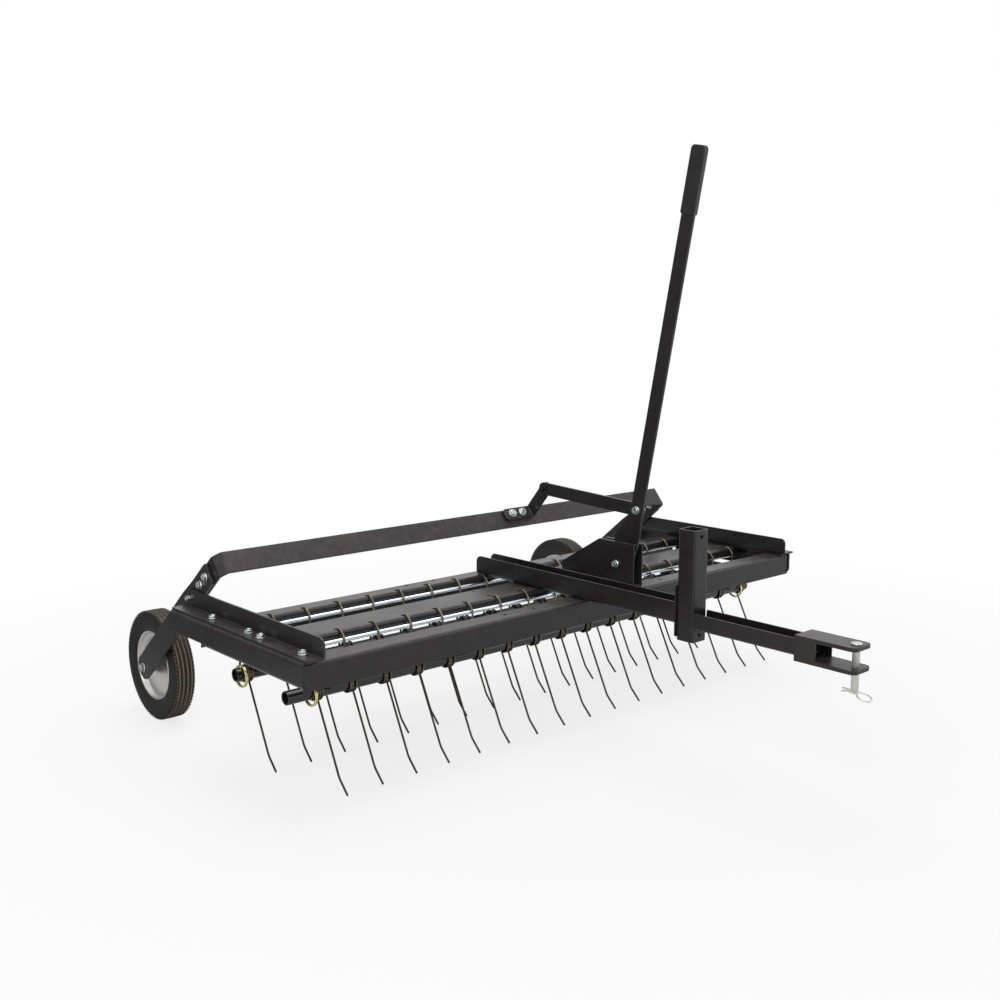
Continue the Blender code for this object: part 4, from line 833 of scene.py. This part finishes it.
def stacked(mesh, levels):
    """Faces between rings of points, with a cap on both ends."""
    rings = [[mesh.verts.new(point) for point in level] for level in levels]
    for a, b in zip(rings, rings[1:]):
        for k in range(len(a)):
            mesh.faces.new((a[k - 1], a[k], b[k], b[k - 1]))
    mesh.faces.new(rings[0])
    mesh.faces.new(rings[-1])


def hex_block(mesh, low, high, corner, dish=0.0, chamfered_low=False):
    """A six-sided head from low to high: corners turned down, and a shallow dish in its top."""
    drop = corner * CHAMFER
    flat = corner * math.cos(math.pi / 6)
    if chamfered_low:
        levels = [(flat * CROWN, flat * CROWN, low, low),
                  (corner, flat, low + drop, low + drop * FLAT_DROP)]
    else:
        levels = [(corner, flat, low, low)]
    levels += [(corner, flat, high - drop, high - drop * FLAT_DROP),
               (flat * CROWN, flat * CROWN, high, high)]
    if dish:
        rim, base = flat * DISH_RIM, flat * DISH_BASE
        levels += [(rim, rim, high, high), (base, base, high - dish, high - dish)]
    rings = []
    for at_corner, at_flat, corner_z, flat_z in levels:
        corners, flats = round_ring(at_corner, corner_z, 12), round_ring(at_flat, flat_z, 12)
        rings.append([flats[k] if k % 2 else corners[k] for k in range(12)])
    stacked(mesh, rings)


def round_block(mesh, outline, segments=24):
    stacked(mesh, [round_ring(radius, z, segments) for radius, z in outline])


def hex_bolt(radius, grip, disc, corner, nut=True, nut_disc=None, dish=0.0005):
    """A bolt whose washer seats at z = 0, with its nut below the grip."""
    mesh = bmesh.new()

    def washer_at(low, size):
        round_block(mesh, [(size - WASHER_EDGE, low), (size, low + WASHER_EDGE),
                           (size, low + WASHER - WASHER_EDGE), (size - WASHER_EDGE, low + WASHER)])

    washer_at(SEAT_GAP, disc)
    hex_block(mesh, WASHER + SEAT_GAP, WASHER + radius * HEAD_HIGH, corner, dish)
    round_block(mesh, [(radius * SHANK, -grip), (radius * SHANK, WASHER)])
    if nut:
        washer_at(-grip - WASHER - SEAT_GAP, nut_disc or disc)
        under = -grip - WASHER - 2 * SEAT_GAP
        end = under - radius * NUT_HIGH
        hex_block(mesh, end, under, corner, 0.0, True)
        threads = [(radius * (SHANK if k % 2 else THREAD_ROOT), end + THREAD - THREAD * k)
                   for k in range(6)]
        round_block(mesh, threads + [(radius * THREAD_END, threads[-1][1] - WASHER_EDGE)], 16)
    bmesh.ops.recalc_face_normals(mesh, faces=mesh.faces)
    return to_data(mesh)


print("one bolt has", len(hex_bolt(0.004, 0.012, 0.0096, 0.0078).polygons), "faces")

# %% Geometry Nodes: bolts on their holes
bolting, into, out = new_group("bolts_on_holes", "GeometryNodeTree", {
    **GEOMETRY, "Bolt": "Object", "Seed": 3, "Finish": "Material"}, GEOMETRY)
shape = add(bolting, "GeometryNodeObjectInfo", {"Object": into["Bolt"]})["Geometry"]
way = add(bolting, "GeometryNodeInputNamedAttribute", {"Name": "way"}, data_type="FLOAT_VECTOR")[0]
aimed = add(bolting, "FunctionNodeAlignRotationToVector", {"Vector": way}, axis="Z")[0]
spin = add(bolting, "FunctionNodeRandomValue", {"Seed": into["Seed"], 2: 0.0, 3: math.pi / 3},
           data_type="FLOAT")[1]
angle = add(bolting, "FunctionNodeAxisAngleToRotation", {"Axis": (0, 0, 1), "Angle": spin})[0]
way = add(bolting, "FunctionNodeRotateRotation", {0: aimed, 1: angle}, rotation_space="LOCAL")[0]
placed = add(bolting, "GeometryNodeInstanceOnPoints", {"Points": into["Geometry"], "Instance": shape,
                                                       "Rotation": way})[0]
send(bolting, placed, into, out)


def bolt_set(name, template, holes, nodes, seed, material=bright_zinc):
    """Bolts on holes, each a place in the model's frame and the way its head faces."""
    data = bpy.data.meshes.new("holes")
    data.from_pydata([tuple(place) for place, way in holes], [], [])
    ways = data.attributes.new("way", "FLOAT_VECTOR", "POINT")
    ways.data.foreach_set("vector", [c for place, way in holes for c in way])
    pattern = link(template, "bolt_pattern")
    made = grown(data, bolting, {"Bolt": pattern, "Seed": seed, "Finish": material})
    bpy.data.objects.remove(pattern, do_unlink=True)
    return finished(name, made, material, nodes, 32)


def both(pattern, *numbers):
    """Names of nodes on the left and on the right."""
    return [pattern % (word, *n) for side, word in SIDES for n in ([(n,) for n in numbers] or [()])]


UP, LEFT = (0, 0, 1), (-1, 0, 0)
UPSTAND_TOP = 0.0089         # upper face of the upstand angle's foot
made = bolt_set("deck_bolts", hex_bolt(0.004, UPSTAND_TOP + STRIP_SHEET, 0.0096, 0.0078),
                [(deck(side * BOLT_X, y, UPSTAND_TOP), UP) for side, word in SIDES for y in BOLT_Y],
                both("deck_bolt_%s_%d", 1, 2, 3, 4), 4)
print(made.name, len(made.data.polygons), "faces")

# %% [markdown]
# The wheel arms, cross bar and crank turn about the yoke's pivot. Their bolts are easiest to place in
# the yoke's own coordinates: zero on the pivot, Y down the arm to the axle. A matrix turns those into
# places in the model's frame.

# %% Yoke
PIVOT_Y, PIVOT_Z = 0.329, 0.02365
ARM_PIVOT = deck(0, PIVOT_Y, PIVOT_Z)
AXLE = deck(0, 0.565, -0.172)
ARM_LENGTH, ARM_THICK, ARM_OUTER, ARM_GAP = 0.3064, 0.006, 0.6442, 0.0002
ARM_OVERHANG, ARM_HALF, ARM_WIDE, ARM_SLIM, ARM_PAST_TIP = 0.095, 0.0225, 0.0262, 0.030, 0.0005
BAR_THICK, BAR_HALF, BAR_REACH, BAR_CORNER, BAR_BEND = 0.005, 0.023, -0.128, 0.013, 0.0055
TAB_END, TAB_GAP, CRANK_THICK, CRANK_ROUND = -0.037, 0.0003, 0.006, 0.0095
arm_slope = math.asin((ARM_PIVOT.z - AXLE.z) / ARM_LENGTH)
YOKE = Matrix.Translation(ARM_PIVOT) @ Matrix.Rotation(-arm_slope, 4, "X")
tip = ARM_LENGTH + ARM_HALF + ARM_PAST_TIP
# One long edge of the arm: along and across it, and how much each corner is rounded.
edge = [(-ARM_OVERHANG, -ARM_HALF, 0.004), (-ARM_SLIM, -ARM_HALF, 0.060), (ARM_SLIM, -ARM_WIDE, 0.060),
        (tip, -ARM_WIDE, 0.0215)]
loop = rounded(edge + [(y, -z, radius) for y, z, radius in reversed(edge)], 10)
for side, word in SIDES:
    middle = side * (ARM_OUTER - ARM_GAP - ARM_THICK / 2)
    data = softened(prism(loop, middle - ARM_THICK / 2, middle + ARM_THICK / 2, "x", YOKE), 0.0010, 2, 50)
    finished("wheel_arm_%s_plate" % word, data, powder_black, ["wheel_arm_" + word])
tab = ARM_OUTER - ARM_GAP - ARM_THICK - TAB_GAP - BAR_THICK / 2
path = [(-tab, TAB_END), (-tab, BAR_REACH + BAR_CORNER), (BAR_CORNER - tab, BAR_REACH),
        (tab - BAR_CORNER, BAR_REACH), (tab, BAR_REACH + BAR_CORNER), (tab, TAB_END)]
data = prism(sheet_section(path, BAR_THICK, BAR_BEND, 5), -BAR_HALF, BAR_HALF, "z", YOKE)
finished("cross_bar_plate", softened(data, 0.0009), powder_black, ["cross_bar"])
mesh = bmesh.new()
mesh.from_mesh(from_solid("crank"))
free_end = min(v.co.x for v in mesh.verts)
corners = [e for e in mesh.edges if all(v.co.x < free_end + 1e-4 for v in e.verts)
           and CRANK_THICK / 2 < e.calc_length() < CRANK_THICK * 1.5]
bmesh.ops.bevel(mesh, geom=corners, offset=CRANK_ROUND, segments=6, profile=0.5, affect="EDGES")
finished("crank_plate", softened(to_data(mesh), 0.0009, 2, 50), powder_black, ["crank"])
print("arm slope %.1f degrees, %d crank corners rounded" % (math.degrees(arm_slope), len(corners)))

# %% Yoke, pivot and linkage bolts
YOKE_BOLTS_Y, CRANK_BOLTS_X = (-0.081, -0.051), (0.1430, 0.1120)
LEVER_PIVOT, LINK_FRONT = (0.1439, -0.065, 0.042), (0.1554, -0.110, 0.162)
LINK_REAR = (0.1617, 0.180, 0.176)
CRANK_FACE = Vector((0, BAR_REACH - BAR_THICK / 2 - TAB_GAP - CRANK_THICK, 0.0085))
crank_way = (YOKE.to_3x3() @ Vector((0, -1, 0))).normalized()
bolt_set("yoke_bolts", hex_bolt(0.004, ARM_THICK + 0.0053, 0.0086, 0.0074),
         [(YOKE @ Vector((side * ARM_OUTER, y, 0)), (side, 0, 0)) for side, word in SIDES
          for y in YOKE_BOLTS_Y], both("yoke_bolt_%s_%d", 1, 2), 11)
bolt_set("arm_pivot_bolts", hex_bolt(0.004, 0.0112, 0.0062, 0.0060),
         [(deck(side * CHANNEL_INNER, PIVOT_Y, PIVOT_Z), (side, 0, 0)) for side, word in SIDES],
         both("arm_pivot_bolt_%s"), 5)
bolt_set("crank_bolts", hex_bolt(0.004, 0.0113, 0.0102, 0.0080, dish=0.0016),
         [(YOKE @ (CRANK_FACE + Vector((x, 0, 0))), crank_way) for x in CRANK_BOLTS_X],
         ["crank_bolt_1", "crank_bolt_2"], 8)
bolt_set("axle_bolts", hex_bolt(0.0055, 0.0063, 0.0104, 0.0096, False),
         [(YOKE @ Vector((side * ARM_OUTER, ARM_LENGTH, 0)), (side, 0, 0)) for side, word in SIDES],
         both("axle_bolt_%s"), 2)
bolt_set("lever_pivot_bolts", hex_bolt(0.005, 0.029, 0.0080, 0.0072, dish=0.0020),
         [(deck(*LEVER_PIVOT), LEFT)], ["lever_pivot_bolt"], 9)
bolt_set("link_pin_front", hex_bolt(0.004, 0.0127, 0.0090, 0.0084, dish=0.0020),
         [(deck(*LINK_FRONT), LEFT)], ["link_bolt_front"], 6)
made = bolt_set("link_pin_rear", hex_bolt(0.004, 0.0127, 0.0070, 0.0062, nut_disc=0.0116, dish=0.0012),
                [(deck(*LINK_REAR), LEFT)], ["link_bolt_rear"], 7, dark_steel)
print(made.name, len(made.data.polygons), "faces")

# %% [markdown]
# A solid rubber tyre is a ring whose outline is drawn once and turned. Real ones have a rolled
# shoulder, fine grooves round the tread and a row of small moulded nubs beside them. The nubs are
# repeated round the tyre by Geometry Nodes. The pressed rim is a turned dish with a rolled edge.

# %% Geometry Nodes: nubs round a ring
WHEEL_X, TYRE_R, TYRE_HALF, GROOVE_DEEP = 0.6045, 0.118, 0.0236, 0.0026
NUB_COUNT, NUB_SUNK, NUB_IN, NUB_DUST = 84, 0.001, 0.0044, 0.45
nubs, into, out = new_group("nubs_round_ring", "GeometryNodeTree", {
    **GEOMETRY, "Count": NUB_COUNT, "Ring Radius": TYRE_R - NUB_SUNK, "Places": TYRE_HALF - NUB_IN,
    "Nub": Vector((0.0016, 0.0024, 0.0016)), "Finish": "Material"}, GEOMETRY)
circle = add(nubs, "GeometryNodeMeshCircle", {"Vertices": into["Count"], "Radius": into["Ring Radius"]})[0]
position = add(nubs, "GeometryNodeInputPosition")[0]
outward = add(nubs, "FunctionNodeAlignRotationToVector", {"Vector": position}, axis="X")[0]
cube = add(nubs, "GeometryNodeMeshCube", {"Size": into["Nub"]})[0]
marked = add(nubs, "GeometryNodeStoreNamedAttribute", {"Geometry": cube, "Name": "groove",
                                                          "Value": NUB_DUST},
             data_type="FLOAT", domain="POINT")[0]
every = nubs.nodes.new("GeometryNodeJoinGeometry")
for sign in (1.0, -1.0):
    offset = add(nubs, "ShaderNodeCombineXYZ", {2: maths(nubs, "MULTIPLY", into["Places"], sign)})[0]
    moved = add(nubs, "GeometryNodeSetPosition", {"Geometry": circle, "Offset": offset})[0]
    placed = add(nubs, "GeometryNodeInstanceOnPoints", {"Points": moved, "Instance": marked,
                                                        "Rotation": outward})[0]
    nubs.links.new(placed, every.inputs[0])
nubs.links.new(into["Geometry"], every.inputs[0])
send(nubs, every.outputs[0], into, out)
print("tree", nubs.name, "has", len(nubs.nodes), "nodes")

# %% Wheels
TYRE_SEGMENTS, RIM_SEGMENTS = 128, 96
GROOVES, GROOVE_TOP, GROOVE_FOOT = (0.0135, 0.0048, -0.0048, -0.0135), 0.0016, 0.0008
OUTER_DROP = 0.0002          # how much lower the tread is at its outer grooves
TYRE_SIDE = mm((75.4, 17.6), (77, 19.2), (80.5, 20.8), (86, 22.2), (92.5, 23), (93.2, 22.3), (104, 23.6),
               (109, 23), (113, 21.6), (116, 19.4), (117.5, 17.8))
RIM = mm((6.1, 33.3), (12.7, 33.3), (13.5, 32.5), (13.5, 17.64), (15.5, 16.74), (31.5, 11.16), (46.5, 7.92),
         (60, 6.12), (66, 6.84), (69.75, 10.8), (71.5, 16.2), (72.6, 18), (74, 19), (75, 18), (75, -18),
         (74, -19), (72.6, -18), (72, 2.16), (64.5, 3.6), (58.5, 3.06), (46.5, 4.68), (31.5, 7.92),
         (15.5, 13.32), (13.5, 12.6), (13.5, -17.4), (12.7, -18.2), (6.1, -18.2))
tread, deep = [], []         # the tread's outline, and which of its points lie in a groove
for middle in GROOVES:
    lift = TYRE_R - OUTER_DROP if abs(middle) == GROOVES[0] else TYRE_R
    tread += [(lift, middle + GROOVE_TOP), (lift - GROOVE_DEEP, middle + GROOVE_FOOT),
              (lift - GROOVE_DEEP, middle - GROOVE_FOOT), (lift, middle - GROOVE_TOP)]
    deep += [0.0, 1.0, 1.0, 0.0]
outline = TYRE_SIDE + tread + [(r, -z) for r, z in reversed(TYRE_SIDE)]
deep = [0.0] * len(TYRE_SIDE) + deep + [0.0] * len(TYRE_SIDE)
for side, word in SIDES:
    centre = Vector((side * WHEEL_X, AXLE.y, AXLE.z))
    ring = turned(outline, TYRE_SEGMENTS, (0, 0, 1), (0, 0, 0))
    groove = ring.attributes.new("groove", "FLOAT", "POINT")
    groove.data.foreach_set("value", [depth for depth in deep for k in range(TYRE_SEGMENTS)])
    data = grown(ring, nubs, {"Finish": rubber})
    data.transform(Matrix.Translation(centre) @ Matrix.Rotation(side * math.pi / 2, 4, "Y"))
    finished("tyre_%s_ring" % word, data, rubber, ["tyre_" + word], 30)
    rim = turned(RIM, RIM_SEGMENTS, (side, 0, 0), centre)
    finished("rim_%s_dish" % word, rim, rim_silver, ["wheel_rim_" + word], 40)
    print(word, "wheel:", len(data.polygons), "and", len(rim.polygons), "faces")

# %% [markdown]
# The hitch pin is a turned plated pin with a flat head, and a hairpin clip of bent wire keeps it in.
# The clip hangs askew, as it does in the photo. It is a path again, so the wire network draws it.

# %% Hitch pin and clip
PIN_R, CLIP_GAP = 0.00635, 0.0003
pin_low, pin_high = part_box("hitch_pin")
clip_low, clip_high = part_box("hitch_clip")
pin_axis = Vector(((pin_low.x + pin_high.x) / 2, (pin_low.y + pin_high.y) / 2, 0))
pin = [(radius, pin_high.z + z) for radius, z in mm((0, 0), (7.8, 0), (9.1, -0.5), (9.5, -1.5), (9.2, -2.4),
                                                    (6.95, -2.7), (6.35, -3.6))]
pin += [(radius, pin_low.z + z) for radius, z in mm((6.35, 2.2), (5.55, 0.8), (4.35, 0), (0, 0))]
finished("hitch_pin_turned", turned(pin, 40, (0, 0, 1), pin_axis), pin_zinc, ["hitch_pin"], 35)

CLIP_R, LOOP_R, NOSE, CLIP_TAIL, CLIP_LOWER = 0.0014, 0.0118, 0.0165, 0.020, 0.0018
CLIP_YAW, CLIP_SAG, CLIP_DROOP = math.radians(30), math.radians(12), math.radians(12)
CLIP_WRAP, CLIP_STEPS = math.radians(285), 20      # how far the clip's round eye goes round
clear = (PIN_R + CLIP_R + CLIP_GAP) / math.cos(CLIP_DROOP)
clip_way = heading(CLIP_YAW, CLIP_SAG)
clip_side = heading(CLIP_YAW - math.pi / 2, CLIP_DROOP)
path = [(0, CLIP_TAIL), (0, -0.004), (0, 0.7 * LOOP_R - NOSE)]
for k in range(1, CLIP_STEPS + 1):
    angle = math.pi + CLIP_WRAP * k / CLIP_STEPS
    path.append((LOOP_R * (1 + math.cos(angle)), LOOP_R * math.sin(angle) - NOSE))
path += [(clear * u, clear * v) for u, v in ((1.02, -0.35), (1.05, 0.2), (0.98, 0.75), (0.75, 1.2),
                                             (0.95, 1.7), (1.35, 2.5))]
origin = pin_axis + Vector((0, 0, (clip_low.z + clip_high.z) / 2 - CLIP_LOWER))
points = eased([origin - clip_way * y + clip_side * across for across, y in path], 3)
finished("hitch_clip_wire", wired(points, CLIP_R, pin_zinc, sides=14), pin_zinc, ["hitch_clip"], 60)
print("pin is %.1f mm long" % ((pin_high.z - pin_low.z) * 1000))

# %% [markdown]
# The grip is a vinyl sleeve that was dipped over the flat lever, so it follows the lever's outline
# with soft, thick edges. Its outline is drawn beside the lever, along the lever's lean.

# %% Grip
LEAN = math.radians(11.15)
LEVER_X, GRIP_HALF_THICK = 0.1584, 0.0055
GRIP_TOP, GRIP_BOTTOM, GRIP_HALF, GRIP_EDGE = 0.743, 0.612, 0.0185, 0.0022
up = Vector((-math.sin(LEAN), math.cos(LEAN)))
across = Vector((math.cos(LEAN), math.sin(LEAN)))
pin_at = Vector(LINK_FRONT[1:])
corners = [(GRIP_TOP, -GRIP_HALF, 0.009), (GRIP_BOTTOM, -GRIP_HALF, 0.003), (GRIP_BOTTOM, GRIP_HALF, 0.003),
           (GRIP_TOP, GRIP_HALF, 0.009)]
loop = rounded([(*(pin_at + up * a + across * b), r) for a, b, r in corners], 6)
data = prism(loop, LEVER_X - GRIP_HALF_THICK, LEVER_X + GRIP_HALF_THICK, "x")
data = softened(data, GRIP_EDGE, 4, 60)
made = finished("lever_grip_sleeve", data, grip_vinyl, ["lever_grip"])
print("grip sleeve:", len(made.data.polygons), "faces")

# %% [markdown]
# The studio is a pale floor, a white surround and three soft lamps. The surround is pure white to the
# camera and in reflections, as it was round the real thing, and dimmer as a light, so that colours
# render about as they are written. The floor fades into the white at a distance, and close by it
# keeps the object's shadow. To the left and behind, reflections meet a dark card, as photographers
# put one beside black steel: it keeps the arms and the channel as dark as they are in the photo.

# %% Surround and floor
world = bpy.data.worlds.new("studio")
bpy.context.scene.world = world
world.use_nodes = True
sky = world.node_tree
rays = add(sky, "ShaderNodeLightPath")
seen = maths(sky, "ADD", rays["Is Camera Ray"], rays["Is Glossy Ray"])
seen = maths(sky, "ADD", seen, rays["Is Transmission Ray"], True)
strength = between(sky, seen, 0.0, 1.0, 0.42, 1.0)
towards = add(sky, "ShaderNodeVectorMath", {0: add(sky, "ShaderNodeTexCoord")["Generated"],
                                            1: (-0.5, 0.866, 0.0)}, operation="DOT_PRODUCT")["Value"]
card = maths(sky, "MULTIPLY", between(sky, towards, 0.55, 0.85, 0.0, 0.75), rays["Is Glossy Ray"])
strength = maths(sky, "MULTIPLY", strength, maths(sky, "SUBTRACT", 1.0, card))
sky.nodes["Background"].inputs["Color"].default_value = (1, 1, 1, 1)
sky.links.new(strength, sky.nodes["Background"].inputs["Strength"])

mesh = bmesh.new()
bmesh.ops.create_circle(mesh, cap_ends=True, segments=96, radius=40)
floor = link(to_data(mesh), "floor")
floor_paint, tree = new_material("pale_floor")
shader = tree.nodes["Principled BSDF"]
shader.inputs["Base Color"].default_value = (0.86, 0.86, 0.86, 1)
shader.inputs["Roughness"].default_value = 0.9
distance = add(tree, "ShaderNodeVectorMath", {0: object_place(tree)}, operation="LENGTH")["Value"]
fade = between(tree, distance, 1.2, 3.2, 0.0, 1.0)
near = between(tree, distance, 0.6, 2.0, 0.74, 1.0)
rays = add(tree, "ShaderNodeLightPath")
to_camera = maths(tree, "MULTIPLY", near, rays["Is Camera Ray"])
glow = add(tree, "ShaderNodeEmission", {"Color": (1, 1, 1), "Strength": 1.0})[0]
blend = add(tree, "ShaderNodeMixShader", {0: maths(tree, "MAXIMUM", fade, to_camera),
                                          1: shader.outputs[0], 2: glow})[0]
place = add(tree, "ShaderNodeSeparateXYZ", {0: object_place(tree)})
card = maths(tree, "MULTIPLY", between(tree, place["X"], -0.60, -0.95, 0.0, 1.0),
             between(tree, place["Y"], 0.40, 0.90, 0.0, 0.75))
card = maths(tree, "MULTIPLY", card, rays["Is Glossy Ray"])
dark = add(tree, "ShaderNodeEmission", {"Strength": 0.0})[0]
blend = add(tree, "ShaderNodeMixShader", {0: card, 1: blend, 2: dark})[0]
tree.links.new(blend, tree.nodes["Material Output"].inputs["Surface"])
floor.data.materials.append(floor_paint)
print("floor is %.0f m across" % floor.dimensions.x)

# %% Lamps
LAMP_TARGET = Vector((0, 0, 0.25))


def lamp(name, place, size, power):
    made = link(bpy.data.lights.new(name, "AREA"), name)
    made.data.shape = "DISK"
    made.data.size = size
    made.data.energy = power
    made.location = place
    made.rotation_euler = (LAMP_TARGET - Vector(place)).to_track_quat("-Z", "Y").to_euler()
    return made


lamps = [lamp("overhead", (0.2, 0.3, 3.2), 2.6, 42), lamp("key", (-2.6, -1.6, 2.2), 1.6, 30),
         lamp("fill", (2.2, -2.4, 1.4), 2.0, 14)]
bpy.context.scene.view_settings.view_transform = "Standard"
print("lamps:", [(o.name, o.data.energy) for o in lamps])
